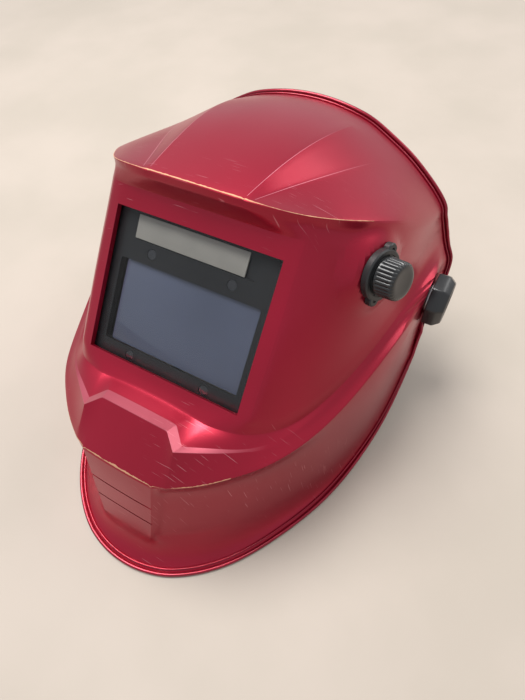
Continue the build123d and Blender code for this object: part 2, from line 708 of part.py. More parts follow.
def shell_group():
    """Pieces that stay with the shell, in the worn frame."""
    pieces = {
        "shell": make_shell(),
        "front_cover_lens": make_cover_lens(),
        "filter_holder_frame": make_holder(),
        "filter_housing": make_cartridge(),
        "filter_glass": make_filter_glass(),
        "inner_cover_lens": make_back_lens(),
        "solar_cell": make_solar_cell(),
        "arc_sensors": Compound(children=make_sensors()),
        "circuit_board": block(*board_box(0)),
        "battery_cap": make_battery_cap(),
        "coin_cell": make_coin_cell(),
        "test_button": make_test_button(),
        "sensitivity_dial": make_dial(dial_places()[0]),
        "delay_dial": make_dial(dial_places()[1]),
        "latch_top": make_latch(latch_places()[0]),
        "latch_bottom": make_latch(latch_places()[1]),
        "latch_screws": Compound(children=make_latch_screws()),
        "shade_base_plate": make_shade_plate(),
        "shade_pot": make_pot(),
        "shade_pot_nut": make_pot_nut(),
        "shade_knob": make_shade_knob(),
        "shade_lead": make_shade_lead(),
    }
    for name, side in (("left", 1), ("right", -1)):
        pieces[f"friction_washer_{name}"] = make_friction_washer(side)
    return pieces


def headgear_group():
    """Pieces that swing on the pivots, in the headgear frame."""
    pieces = {
        "front_band": make_front_band(),
        "sweatband": make_sweatband(),
        "ratchet_housing": make_ratchet_housing(),
        "ratchet_pinion": make_pinion(),
        "ratchet_knob": make_ratchet_knob(),
        "rear_pad": make_rear_pad(),
        "crown_peg": make_crown_peg(),
    }
    for name, side in (("left", 1), ("right", -1)):
        pieces[f"stop_disc_{name}"] = make_stop_disc(side)
        pieces[f"pivot_bolt_{name}"] = make_bolt(side)
        pieces[f"side_arm_{name}"] = make_arm(side)
        pieces[f"tension_knob_{name}"] = make_tension_knob(side)
        pieces[f"spring_washer_{name}"] = make_spring_washer(side)
        pieces[f"rear_strap_{name}"] = make_rear_strap(side)
        pieces[f"crown_strap_{name}"] = make_crown_strap(side)
    return pieces


def show_point(name, point, shift):
    """Print where a worn-frame point lies once the helmet is on the floor."""
    spot = to_floor(Pos(*point), shift).position
    print(f"{name}: {spot.X:.3f} {spot.Y:.3f} {spot.Z:.3f}")


def main():
    """Build every piece, lay it down and write one file each."""
    pieces = shell_group()
    for name, piece in headgear_group().items():
        pieces[name] = hang(piece)
    laid = {name: to_floor(piece) for name, piece in pieces.items()}
    boxes = [piece.bounding_box() for piece in laid.values()]
    low = min(b.min.Y for b in boxes)
    high = max(b.max.Y for b in boxes)
    shift = (low + high) / 2
    os.makedirs("parts", exist_ok=True)
    for name, piece in laid.items():
        export_step(Pos(0, -shift, 0) * piece, f"parts/{name}.step")
    show_point("pivot axis", (0, PIVOT_Y, PIVOT_Z), shift)
    show_point("window centre", (0, 0, 0), shift)
    show_point("shade control", (SHADE_X, SHADE_Y, SHADE_Z), shift)
    for x in [*dial_places(), CAP_X, BUTTON_X]:
        show_point("control", (x, cartridge_back(), CONTROL_Z), shift)
    for x, z, turn in latch_places():
        show_point("latch", (x, holder_back(), z), shift)
    print("headgear slope", rest_slope())
    print("length", high - low, "width", 2 * max(b.max.X for b in boxes), "height", max(b.max.Z for b in boxes))


main()
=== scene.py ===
"""Welding helmet: the looks of every piece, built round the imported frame.

Sizes in the classes are millimetres. Two sets of axes are used for them. Worn axes
have their origin at the centre of the window, with Y back into the helmet and Z up
along the window. Floor axes measure the distance back from the chin and the height
above the floor that the helmet lies on. Both are turned into metres by Ground.
"""
import json
import logging
import math
from dataclasses import dataclass, field
from enum import Enum
from typing import Callable, Iterable, Optional

import bmesh
import bpy
from mathutils import Matrix, Vector


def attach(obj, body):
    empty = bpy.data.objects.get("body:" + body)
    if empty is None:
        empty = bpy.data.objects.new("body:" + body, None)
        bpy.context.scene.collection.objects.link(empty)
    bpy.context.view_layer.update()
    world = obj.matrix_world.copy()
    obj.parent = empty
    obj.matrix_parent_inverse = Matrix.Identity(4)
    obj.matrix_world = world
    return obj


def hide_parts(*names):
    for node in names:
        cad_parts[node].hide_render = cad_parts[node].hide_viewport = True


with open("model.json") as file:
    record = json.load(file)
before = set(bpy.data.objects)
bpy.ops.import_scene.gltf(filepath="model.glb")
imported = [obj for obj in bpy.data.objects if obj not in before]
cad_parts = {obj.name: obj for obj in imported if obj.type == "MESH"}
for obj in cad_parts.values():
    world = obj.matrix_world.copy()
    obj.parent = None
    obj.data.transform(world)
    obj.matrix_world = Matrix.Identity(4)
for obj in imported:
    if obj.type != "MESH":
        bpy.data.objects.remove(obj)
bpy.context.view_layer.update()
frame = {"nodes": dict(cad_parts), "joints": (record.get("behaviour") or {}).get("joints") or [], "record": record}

LOG = logging.getLogger("welding_helmet")
MM = 0.001
Point = tuple[float, float, float]


class Slot(Enum):
    """Material slots of the record."""

    PAINT = "shell_paint"
    COVER = "cover_clear"
    FILTER = "filter_dark"
    SOLAR = "solar"
    SENSOR = "sensor"
    BOARD = "board"
    STEEL = "steel"
    PLASTIC = "black_plastic"
    KNOB = "knob_gloss"
    DIAL = "dial_grey"
    LEAD = "lead_rubber"
    CLOTH = "sweat_cloth"


# ---- places ------------------------------------------------------------
PIVOT_SEAT = (118.9, 130.0, 41.0)      # middle of the flat seat under a side knob, worn axes
SHADE_SEAT = (95.5, 40.0, 51.0)        # middle of the flat seat under the shade control
SHADE_OUT = (0.927, -0.375, 0.0)       # the way that the shade control faces


class Ground:
    """Turns worn and floor measures in millimetres into places in metres."""

    RECLINE = math.radians(42.7)
    CHIN = (9.0, -189.0)
    PIVOT = (130.0, 41.0)

    def __init__(self) -> None:
        """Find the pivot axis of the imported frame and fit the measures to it."""
        joints = {j["name"]: j for j in frame["joints"]}
        self.pivot = Vector(joints["headgear_tilt"]["pos_m"])
        self.back_axis = Vector((0, math.cos(self.RECLINE), -math.sin(self.RECLINE)))
        self.up_axis = Vector((0, math.sin(self.RECLINE), math.cos(self.RECLINE)))
        self.chin = self.worn(0, *self.CHIN)

    def worn(self, x: float, y: float, z: float) -> Vector:
        """Place of a point given in worn axes.

        Args:
            x: Distance to the left of the midline.
            y: Distance behind the window.
            z: Height along the window.

        Returns:
            The place in metres.
        """
        offset = self.back_axis * (y - self.PIVOT[0]) + self.up_axis * (z - self.PIVOT[1])
        return Vector((x, 0, 0)) * MM + self.pivot + offset * MM

    def lying(self, x: float, back: float, up: float) -> Vector:
        """Place of a point given by its distance behind the chin and its height.

        Args:
            x: Distance to the left of the midline.
            back: Distance behind the chin.
            up: Height above the floor.

        Returns:
            The place in metres.
        """
        return Vector((x * MM, self.chin.y + back * MM, up * MM))

    def worn_matrix(self, x: float, y: float, z: float) -> Matrix:
        """Matrix that carries worn axes, with their origin moved to a point, to metres.

        Args:
            x: Worn place of the new origin.
            y: Worn place of the new origin.
            z: Worn place of the new origin.

        Returns:
            The matrix, which also turns millimetres into metres.
        """
        turn = Matrix.Rotation(-self.RECLINE, 4, "X")
        return Matrix.Translation(self.worn(x, y, z)) @ turn @ Matrix.Scale(MM, 4)


# ---- mesh helpers ------------------------------------------------------
def only(*objects: bpy.types.Object) -> None:
    """Select these objects alone and make the first one active.

    Args:
        objects: The objects to select.
    """
    bpy.ops.object.select_all(action="DESELECT")
    for item in objects:
        item.select_set(True)
    bpy.context.view_layer.objects.active = objects[0]


def named(name: str) -> bpy.types.Object:
    """Name the object that the last operator made.

    Args:
        name: Name for the object and its mesh.

    Returns:
        That object.
    """
    piece = bpy.context.active_object
    piece.name = name
    piece.data.name = name
    return piece


def settle(piece: bpy.types.Object, matrix: Optional[Matrix] = None) -> bpy.types.Object:
    """Put a piece's place into its mesh, so that its object sits at the origin.

    Args:
        piece: The finished piece.
        matrix: Where the mesh goes, or None to use the object's own place.

    Returns:
        The same piece.
    """
    bpy.context.view_layer.update()
    piece.data.transform(matrix if matrix else piece.matrix_world)
    piece.matrix_world = Matrix.Identity(4)
    return piece


def apply_all(piece: bpy.types.Object) -> None:
    """Apply every modifier of a piece in order.

    Args:
        piece: The piece that carries the modifiers.
    """
    only(piece)
    for modifier in list(piece.modifiers):
        bpy.ops.object.modifier_apply(modifier=modifier.name)


def tidy_normals(piece: bpy.types.Object, merge: float = 1e-6) -> None:
    """Merge doubles and turn every face outwards.

    Args:
        piece: The piece to tidy.
        merge: Distance below which points become one.
    """
    only(piece)
    bpy.ops.object.mode_set(mode="EDIT")
    bpy.ops.mesh.select_all(action="SELECT")
    bpy.ops.mesh.remove_doubles(threshold=merge)
    bpy.ops.mesh.normals_make_consistent(inside=False)
    bpy.ops.object.mode_set(mode="OBJECT")


def smooth(piece: bpy.types.Object, degrees: float = 35.0) -> None:
    """Shade a piece smooth except across sharp edges.

    Args:
        piece: The piece to shade.
        degrees: Edges that turn by more than this stay sharp.
    """
    only(piece)
    bpy.ops.object.shade_smooth_by_angle(angle=math.radians(degrees))


def bevel(piece: bpy.types.Object, width: float, segments: int = 2, angle: float = 35.0) -> None:
    """Round the sharp edges of a piece and apply the bevel.

    Args:
        piece: The piece to round.
        width: Width of the bevel, in the mesh's own units.
        segments: Number of faces across the bevel.
        angle: Edges that turn by more than this many degrees are rounded.
    """
    modifier = piece.modifiers.new("edge_round", "BEVEL")
    modifier.width = width
    modifier.segments = segments
    modifier.limit_method = "ANGLE"
    modifier.angle_limit = math.radians(angle)
    apply_all(piece)


def lathe(name: str, profile: Iterable[tuple[float, float]], steps: int = 48) -> bpy.types.Object:
    """Turn a profile about the Z axis with the spin operator.

    Args:
        name: Name of the piece.
        profile: Radius and height of each point, from the bottom of the axis to the top.
        steps: Number of faces round the axis.

    Returns:
        A closed piece in millimetres, with outward normals.
    """
    points = list(profile)
    bpy.ops.object.select_all(action="DESELECT")
    bpy.ops.mesh.primitive_plane_add(size=1)
    piece = named(name)
    bpy.ops.object.mode_set(mode="EDIT")
    bpy.ops.mesh.select_all(action="SELECT")
    bpy.ops.mesh.delete(type="VERT")
    work = bmesh.from_edit_mesh(piece.data)
    corners = [work.verts.new((r, 0, z)) for r, z in points]
    for first, second in zip(corners, corners[1:]):
        work.edges.new((first, second))
    bmesh.update_edit_mesh(piece.data)
    bpy.ops.mesh.select_all(action="SELECT")
    bpy.ops.mesh.spin(steps=steps, angle=math.tau, center=(0, 0, 0), axis=(0, 0, 1))
    bpy.ops.object.mode_set(mode="OBJECT")
    tidy_normals(piece, 1e-4)
    return piece


def pick_faces(piece: bpy.types.Object, test: Callable[[Vector, Vector], bool]) -> None:
    """Select, in edit mode, the faces whose centre and normal pass a test.

    Args:
        piece: The piece that is in edit mode.
        test: Says yes or no for a face's centre and normal.
    """
    bpy.ops.mesh.select_mode(type="FACE")
    bpy.ops.mesh.select_all(action="DESELECT")
    work = bmesh.from_edit_mesh(piece.data)
    for face in work.faces:
        face.select = test(face.calc_center_median(), face.normal)
    work.select_flush_mode()
    bmesh.update_edit_mesh(piece.data)


# ---- finishes ----------------------------------------------------------
def new_group(name: str, inputs: dict[str, float], outputs: Iterable[str]) -> bpy.types.NodeTree:
    """Make an empty shader node group with float inputs and outputs.

    Args:
        name: Name of the group.
        inputs: Input names with their default values.
        outputs: Output names.

    Returns:
        The node tree, with its input and output nodes named In and Out.
    """
    tree = bpy.data.node_groups.new(name, "ShaderNodeTree")
    for label, value in inputs.items():
        socket = tree.interface.new_socket(label, in_out="INPUT", socket_type="NodeSocketFloat")
        socket.default_value = value
    for label in outputs:
        tree.interface.new_socket(label, in_out="OUTPUT", socket_type="NodeSocketFloat")
    tree.nodes.new("NodeGroupInput").name = "In"
    tree.nodes.new("NodeGroupOutput").name = "Out"
    return tree


def noise(tree: bpy.types.NodeTree, scale: float, detail: float,
          where: bpy.types.NodeSocket) -> bpy.types.Node:
    """Add a noise texture.

    Args:
        tree: The node tree to add to.
        scale: Scale of the noise.
        detail: Number of finer layers.
        where: Coordinates that it is read at.

    Returns:
        The noise node.
    """
    node = tree.nodes.new("ShaderNodeTexNoise")
    node.inputs["Scale"].default_value = scale
    node.inputs["Detail"].default_value = detail
    tree.links.new(where, node.inputs["Vector"])
    return node


def ramp(tree: bpy.types.NodeTree, low: float, high: float,
         value: bpy.types.NodeSocket) -> bpy.types.Node:
    """Add a smooth map from a range to 0..1.

    Args:
        tree: The node tree to add to.
        low: Value that becomes 0.
        high: Value that becomes 1.
        value: Socket to map.

    Returns:
        The map node.
    """
    node = tree.nodes.new("ShaderNodeMapRange")
    node.interpolation_type = "SMOOTHSTEP"
    node.inputs["From Min"].default_value = low
    node.inputs["From Max"].default_value = high
    tree.links.new(value, node.inputs["Value"])
    return node


def sum_of(tree: bpy.types.NodeTree, kind: str, first: object, second: object) -> bpy.types.NodeSocket:
    """Add a math node.

    Args:
        tree: The node tree to add to.
        kind: Name of the operation.
        first: A socket or a number.
        second: A socket or a number.

    Returns:
        The node's output.
    """
    node = tree.nodes.new("ShaderNodeMath")
    node.operation = kind
    for slot, value in zip(node.inputs, (first, second)):
        if isinstance(value, (int, float)):
            slot.default_value = value
        else:
            tree.links.new(value, slot)
    return node.outputs[0]


def mix_of(tree: bpy.types.NodeTree, factor: bpy.types.NodeSocket, first: object,
           second: object) -> bpy.types.NodeSocket:
    """Add a colour mix.

    Args:
        tree: The node tree to add to.
        factor: Socket that says how much of the second colour shows.
        first: A socket or an RGB value.
        second: A socket or an RGB value.

    Returns:
        The mixed colour's socket.
    """
    node = tree.nodes.new("ShaderNodeMix")
    node.data_type = "RGBA"
    tree.links.new(factor, node.inputs[0])
    for slot, value in ((node.inputs[6], first), (node.inputs[7], second)):
        if isinstance(value, tuple):
            slot.default_value = (*value, 1.0)
        else:
            tree.links.new(value, slot)
    return node.outputs[2]


def attribute(tree: bpy.types.NodeTree, name: str) -> bpy.types.NodeSocket:
    """Read a float attribute that the mesh carries.

    Args:
        tree: The node tree to add to.
        name: Name of the attribute.

    Returns:
        The attribute's value.
    """
    node = tree.nodes.new("ShaderNodeAttribute")
    node.attribute_name = name
    return node.outputs["Fac"]


@dataclass(frozen=True)
class Effects:
    """Shared node groups, built once and placed in each material."""

    grain: bpy.types.NodeTree
    scratches: bpy.types.NodeTree
    chips: bpy.types.NodeTree

    @classmethod
    def build(cls) -> "Effects":
        """Build the three groups.

        Returns:
            The three groups.
        """
        return cls(cls._grain(), cls._scratches(), cls._chips())

    @staticmethod
    def _grain() -> bpy.types.NodeTree:
        """Fine and broad mottling: a height and a slow variation.

        Returns:
            A group with the outputs Height and Mottle.
        """
        tree = new_group("surface_grain", {"Fine": 1500.0, "Broad": 14.0}, ("Height", "Mottle"))
        spot = tree.nodes.new("ShaderNodeTexCoord")
        fine = noise(tree, 1500.0, 3.0, spot.outputs["Object"])
        broad = noise(tree, 14.0, 4.0, spot.outputs["Object"])
        tree.links.new(tree.nodes["In"].outputs["Fine"], fine.inputs["Scale"])
        tree.links.new(tree.nodes["In"].outputs["Broad"], broad.inputs["Scale"])
        tree.links.new(fine.outputs["Fac"], tree.nodes["Out"].inputs["Height"])
        tree.links.new(broad.outputs["Fac"], tree.nodes["Out"].inputs["Mottle"])
        return tree

    @staticmethod
    def _scratches() -> bpy.types.NodeTree:
        """Sparse hair scratches in a few directions.

        Returns:
            A group with the output Mask.
        """
        tree = new_group("hair_scratches", {"Amount": 0.5, "Scale": 9.0}, ("Mask",))
        spot = tree.nodes.new("ShaderNodeTexCoord")
        total: object = 0.0
        for turn in (0.3, 1.15, 2.1, 2.8):
            mapping = tree.nodes.new("ShaderNodeMapping")
            mapping.inputs["Rotation"].default_value = (turn * 0.4, turn * 0.7, turn)
            mapping.inputs["Scale"].default_value = (5.0, 190.0, 5.0)
            tree.links.new(spot.outputs["Object"], mapping.inputs["Vector"])
            line = noise(tree, 9.0, 1.0, mapping.outputs["Vector"])
            tree.links.new(tree.nodes["In"].outputs["Scale"], line.inputs["Scale"])
            streak = ramp(tree, 0.74, 0.79, line.outputs["Fac"])
            total = sum_of(tree, "MAXIMUM", total, streak.outputs["Result"])
        patches = noise(tree, 11.0, 2.0, spot.outputs["Object"])
        patchy = ramp(tree, 0.5, 0.62, patches.outputs["Fac"])
        masked = sum_of(tree, "MULTIPLY", total, patchy.outputs["Result"])
        scaled = sum_of(tree, "MULTIPLY", masked, tree.nodes["In"].outputs["Amount"])
        tree.links.new(scaled, tree.nodes["Out"].inputs["Mask"])
        return tree

    @staticmethod
    def _chips() -> bpy.types.NodeTree:
        """Broken chips along an edge that an attribute marks.

        Returns:
            A group with the output Mask.
        """
        tree = new_group("edge_chips", {"Edge": 0.0, "Level": 0.5}, ("Mask",))
        spot = tree.nodes.new("ShaderNodeTexCoord")
        flecks = noise(tree, 420.0, 4.0, spot.outputs["Object"])
        runs = noise(tree, 38.0, 2.0, spot.outputs["Object"])
        mixed = sum_of(tree, "MULTIPLY", flecks.outputs["Fac"], runs.outputs["Fac"])
        lifted = sum_of(tree, "ADD", mixed, tree.nodes["In"].outputs["Edge"])
        raised = sum_of(tree, "SUBTRACT", lifted, tree.nodes["In"].outputs["Level"])
        edge = ramp(tree, 0.62, 0.68, raised)
        tree.links.new(edge.outputs["Result"], tree.nodes["Out"].inputs["Mask"])
        return tree


@dataclass(frozen=True)
class Finish:
    """A moulded, painted or metal finish.

    The colour drifts between base and shade with the broad mottling.
    """

    name: str
    base: tuple[float, float, float]
    shade: tuple[float, float, float]
    roughness: float = 0.4
    spread: float = 0.08
    metallic: float = 0.0
    coat: float = 0.0
    coat_roughness: float = 0.1
    fine: float = 1500.0
    broad: float = 14.0
    bump: float = 0.1
    depth: float = 0.0001
    scratch: float = 0.0
    scratch_colour: tuple[float, float, float] = (0.6, 0.3, 0.32)
    chip: bool = False
    chip_level: float = 0.38
    # gate level above which the painted highlight along marked edges begins
    highlight_from: float = 0.86
    chip_colour: tuple[float, float, float] = (0.62, 0.33, 0.2)
    # colour of the painted highlight along marked edges
    highlight_colour: tuple[float, float, float] = (0.8, 0.27, 0.34)
    sheen: float = 0.0

    def material(self, effects: Effects) -> bpy.types.Material:
        """Build the material of this finish.

        Args:
            effects: The shared node groups.

        Returns:
            A node material with no image textures.
        """
        made = bpy.data.materials.new(self.name)
        made.use_nodes = True
        tree = made.node_tree
        shader = tree.nodes["Principled BSDF"]
        shader.inputs["Metallic"].default_value = self.metallic
        shader.inputs["Coat Weight"].default_value = self.coat
        shader.inputs["Coat Roughness"].default_value = self.coat_roughness
        shader.inputs["Sheen Weight"].default_value = self.sheen
        grain = tree.nodes.new("ShaderNodeGroup")
        grain.node_tree = effects.grain
        grain.inputs["Fine"].default_value = self.fine
        grain.inputs["Broad"].default_value = self.broad
        drift = ramp(tree, 0.32, 0.68, grain.outputs["Mottle"])
        colour = mix_of(tree, drift.outputs["Result"], self.base, self.shade)
        rough = ramp(tree, 0.0, 1.0, grain.outputs["Mottle"])
        rough.inputs["To Min"].default_value = max(self.roughness - self.spread, 0.02)
        rough.inputs["To Max"].default_value = self.roughness + self.spread
        rough_out = rough.outputs["Result"]
        if self.scratch > 0:
            marks = tree.nodes.new("ShaderNodeGroup")
            marks.node_tree = effects.scratches
            marks.inputs["Amount"].default_value = self.scratch
            colour = mix_of(tree, marks.outputs["Mask"], colour, self.scratch_colour)
        if self.chip:
            colour, rough_out = self._add_chips(tree, effects, colour, rough_out)
        tree.links.new(colour, shader.inputs["Base Color"])
        tree.links.new(rough_out, shader.inputs["Roughness"])
        lump = tree.nodes.new("ShaderNodeBump")
        lump.inputs["Strength"].default_value = self.bump
        lump.inputs["Distance"].default_value = self.depth
        tree.links.new(grain.outputs["Height"], lump.inputs["Height"])
        tree.links.new(lump.outputs["Normal"], shader.inputs["Normal"])
        return made

    def _add_chips(self, tree: bpy.types.NodeTree, effects: Effects, colour: object,
                   rough: object) -> tuple[object, object]:
        """Lay a painted highlight and chipped edges over the paint, where the mesh's attributes mark them.

        Args:
            tree: The node tree of the finish.
            effects: The shared node groups.
            colour: The paint's colour.
            rough: The paint's roughness.

        Returns:
            The colour with the painted highlight and the chips, and the roughness with the chips.
        """
        chips = tree.nodes.new("ShaderNodeGroup")
        chips.node_tree = effects.chips
        chips.inputs["Level"].default_value = self.chip_level
        tree.links.new(attribute(tree, "wear"), chips.inputs["Edge"])
        # painted highlight: a pinkish light line on the bumper's bevel and the crown's folds, mixed into the paint
        # colour
        edge = ramp(tree, self.highlight_from, 1.0, attribute(tree, "painted_highlight_gate"))
        painted_shine = sum_of(tree, "MULTIPLY", edge.outputs["Result"], attribute(tree, "painted_highlight"))
        colour = mix_of(tree, painted_shine, colour, self.highlight_colour)
        colour = mix_of(tree, chips.outputs["Mask"], colour, self.chip_colour)
        lift = sum_of(tree, "MULTIPLY", chips.outputs["Mask"], 0.35)
        return colour, sum_of(tree, "ADD", rough, lift)


@dataclass(frozen=True)
class Clear:
    """A clear or tinted sheet of plastic or glass."""

    name: str
    tint: tuple[float, float, float]
    roughness: float = 0.02
    alpha: float = 0.2
    ior: float = 1.5

    def material(self, effects: Effects) -> bpy.types.Material:
        """Build the material: mostly see-through, with a full gloss and faint smears.

        Args:
            effects: The shared node groups.

        Returns:
            A node material with no image textures.
        """
        made = bpy.data.materials.new(self.name)
        made.use_nodes = True
        tree = made.node_tree
        shader = tree.nodes["Principled BSDF"]
        shader.inputs["Base Color"].default_value = (*self.tint, 1.0)
        shader.inputs["IOR"].default_value = self.ior
        grain = tree.nodes.new("ShaderNodeGroup")
        grain.node_tree = effects.grain
        grain.inputs["Broad"].default_value = 22.0
        smear = ramp(tree, 0.45, 0.75, grain.outputs["Mottle"])
        smear.inputs["To Min"].default_value = self.roughness
        smear.inputs["To Max"].default_value = self.roughness + 0.05
        tree.links.new(smear.outputs["Result"], shader.inputs["Roughness"])
        dust = ramp(tree, 0.4, 0.8, grain.outputs["Mottle"])
        dust.inputs["To Min"].default_value = self.alpha
        dust.inputs["To Max"].default_value = self.alpha + 0.06
        tree.links.new(dust.outputs["Result"], shader.inputs["Alpha"])
        return made


# ---- shell -------------------------------------------------------------
class Axes(Enum):
    """The two sets of axes that control points are given in."""

    WORN = "worn"
    LYING = "lying"


@dataclass(frozen=True)
class Row:
    """One line of the shell's control mesh, from the midline round to the rear edge.

    front runs from the midline to the front corner, and side from there to the rear
    edge. front_crease and side_crease say how sharp the line stays, from 0 to 1.
    """

    front_axes: Axes
    front: tuple[Point, ...]
    side_axes: Axes
    side: tuple[Point, ...]
    front_crease: float = 0.0
    side_crease: tuple[float, ...] = ()


def flat_run(xs: Iterable[float], y: float, z: float, corner: Point) -> tuple[Point, ...]:
    """Lay front points at one depth and height, ending with the corner point.

    Args:
        xs: Distances from the midline.
        y: Depth of the run.
        z: Height of the run.
        corner: The last point.

    Returns:
        All the points, from the midline outwards.
    """
    return tuple((x, y, z) for x in xs) + (corner,)


@dataclass(frozen=True)
class Crown:
    """Arches of the crown, from the midline down to the brow line."""

    midline: tuple[tuple[float, float], ...] = ((8, 87.6), (32, 107), (58, 124), (82, 136.5), (105, 146))
    plateau: tuple[float, ...] = (33, 37, 41, 44, 46)
    fold: tuple[float, ...] = (43, 55, 64, 71, 76)
    step: tuple[float, ...] = (2.0, 2.8, 2.4, 1.5, 0.4)

    def arch(self, index: int, foot: Point) -> list[Point]:
        """Points of one arch in worn axes.

        Args:
            index: Arch number, from 0 just behind the brow to 4 at the rear edge.
            foot: Where the arch meets the brow line.

        Returns:
            Five points from the midline outwards; the foot is not one of them.
        """
        y0, z0 = self.midline[index]
        drop = z0 - foot[2]
        radius = (foot[0] ** 2 + drop ** 2) / (2 * drop)
        ridge, fold = self.plateau[index], self.fold[index]
        xs = (0.0, ridge / 2, ridge, fold, (fold + foot[0]) / 2 + 4)
        step = self.step[index]
        lift = (0.0, step * 0.4, step, -step * 1.1, -step * 0.4)
        places = []
        for x, up in zip(xs, lift):
            z = z0 - radius + math.sqrt(radius ** 2 - x ** 2) + up
            places.append((x, y0 + (foot[1] - y0) * (x / foot[0]) ** 2.6, z))
        return places


class Shell:
    """The painted shell, its rolled rim beads and the worn edges on it."""

    WALL = 3.0
    WORN, LYING = Axes.WORN, Axes.LYING
    FIELD = (0, 18, 36, 46, 55)
    ROWS = (
        Row(LYING, ((0, -1, 0.6), (13, 0, 0.6), (25, 3, 0.6), (37, 7.5, 0.6), (55, 19.5, 0.6), (74, 39, 0.6)),
            LYING, ((91, 68, 0.6), (110, 109, 0.6), (119.3, 161, 4.5), (122.5, 195, 20), (122.5, 240, 63.5))),
        Row(LYING, ((0, 8, 5), (12, 8.5, 5), (23, 11, 5), (34, 15, 5), (50, 25, 5), (68, 44, 5)),
            LYING, ((85, 72, 5), (105, 113, 6), (116, 160, 11), (121, 197, 28), (122.5, 245, 65))),
        Row(LYING, ((0, 16, 14), (11, 16.3, 14), (21, 18, 14), (32, 22, 14), (47, 31, 14), (64, 48, 14)),
            LYING, ((82, 75, 14), (103, 115, 15), (115, 160, 20), (120.5, 197, 36), (122.5, 251, 67))),
        Row(LYING, ((0, 19.4, 27), (10, 19.4, 27), (20, 19.4, 27), (25, 25, 27), (45, 37, 27), (62, 52, 27)),
            LYING, ((80, 76, 27), (102, 116, 28), (114.5, 160, 33), (120, 197, 46), (122.5, 256, 69.5)), 0.6),
        Row(LYING, ((0, 27.5, 55), (13, 27.5, 55), (23, 28, 55), (29, 35, 55), (46, 46, 55), (63, 61, 55)),
            LYING, ((80, 83, 56), (102, 121, 56), (115, 162, 60), (120.5, 200, 68), (122.5, 262, 72.5))),
        Row(LYING, ((0, 34, 78), (13, 34, 78), (25, 35, 78), (31, 43, 78), (49, 54, 78), (65, 68, 78)),
            LYING, ((81, 88, 78), (100, 119, 78), (113, 160, 84), (119, 197, 92), (122.5, 268, 77))),
        Row(LYING, ((0, 37.5, 89), (13, 37.6, 89), (26, 38.2, 88.6), (34, 41, 88.5), (50, 50, 88.5),
                    (66, 65, 89.5)),
            LYING, ((81, 80.6, 89), (97, 112.5, 87), (110, 156, 97), (119, 215, 105), (122.3, 275.5, 82)),
            0.95, (0.95, 0.9, 0.8, 0.5, 0.1)),
        Row(WORN, ((0, -17.3, -64), (12, -17.3, -64), (24, -17.3, -64), (33, -21, -72), (50, -9, -69),
                   (67, 2, -64)),
            WORN, ((82, 17, -58), (97, 40, -36), (109, 67, 3), (118, 114, 50), (121, 153.5, 69)),
            1.0, (0.7, 0.3, 0.0, 0.0, 0.0)),
        Row(WORN, ((0, -11.4, -61), (12, -11.4, -61), (25.7, -11.4, -61.3), (34.7, -15.8, -69.6),
                   (50, -7, -66.5),
                   (68, 3, -63)),
            WORN, ((82, 20, -54), (97, 42.5, -29), (108.5, 71, 11), (116.5, 118, 56), (119.5, 150.5, 73)),
            1.0, (0.8, 0.4, 0.0, 0.0, 0.0)),
        Row(WORN, ((0, -3, -56), (15, -3, -56), (30, -3, -57), (40, -3, -57.5), (54, 0, -57), (65, 3.7, -55)),
            WORN, ((81, 24, -50), (97, 45, -22), (108, 75, 18), (113.5, 118, 58), (115.5, 147, 78.5)),
            0.8, (0.85, 0.85, 0.8, 0.6, 0.2)),
        Row(WORN, flat_run((0, 18, 36, 46, 56), -0.5, -50, (63.5, 1.5, -49)),
            WORN, ((80, 20, -42), (96, 43, -15), (105, 72, 22), (112, 116, 62), (114.5, 144.5, 81.5))),
        Row(WORN, flat_run(FIELD, 0, -45, (63.5, 1.5, -43)),
            WORN, ((80, 20, -36), (95, 43, -9), (104.5, 72, 26), (111, 116, 65), (113, 142, 84.5))),
        Row(WORN, flat_run(FIELD, 0, -15, (64, 1.5, -14)),
            WORN, ((80, 19.5, -8), (94, 42, 8), (103.5, 72, 36), (109.5, 114, 70), (112, 140, 87.5))),
        Row(WORN, flat_run(FIELD, 0, 15, (64, 1.5, 15)),
            WORN, ((80, 19.5, 18), (94, 42, 26), (103.5, 72, 45), (108.5, 113, 74), (110.5, 137, 90.5))),
        Row(WORN, flat_run(FIELD, 0, 45, (63.5, 1.5, 45)),
            WORN, ((80, 19.5, 45), (94, 42, 47), (103, 71, 57), (108, 111, 79), (109.5, 133.5, 93.5))),
        Row(WORN, flat_run((0, 18, 36, 46, 56), -0.5, 57, (63.5, 1.5, 58)),
            WORN, ((79, 18, 60), (93, 41, 60), (102.5, 70, 66), (107.5, 109, 83), (108, 131, 96)),
            0.6, (0.6, 0.5, 0.3, 0.0, 0.0)),
        Row(WORN, ((0, -11, 64), (15, -11, 64), (30, -10, 64), (33, -10, 64), (50, -7, 64), (62.5, 0, 65)),
            WORN, ((73.5, 14, 67.5), (90.5, 36, 72), (102, 67, 74), (107.5, 107, 87), (107, 129, 98.5)),
            0.5, (0.4, 0.3, 0.1, 0.0, 0.0)),
        Row(WORN, ((0, -14, 68), (15, -13.5, 68), (30, -12, 68), (33.5, -12, 68), (51, -10.5, 68.3),
                   (62, -4, 69.3)),
            WORN, ((74.5, 10, 72), (90.5, 32, 78), (101.5, 65, 84), (106.5, 105, 92.5), (106, 127.5, 102.5)),
            0.95, (0.95, 0.8, 0.4, 0.1, 0.0)),
    )
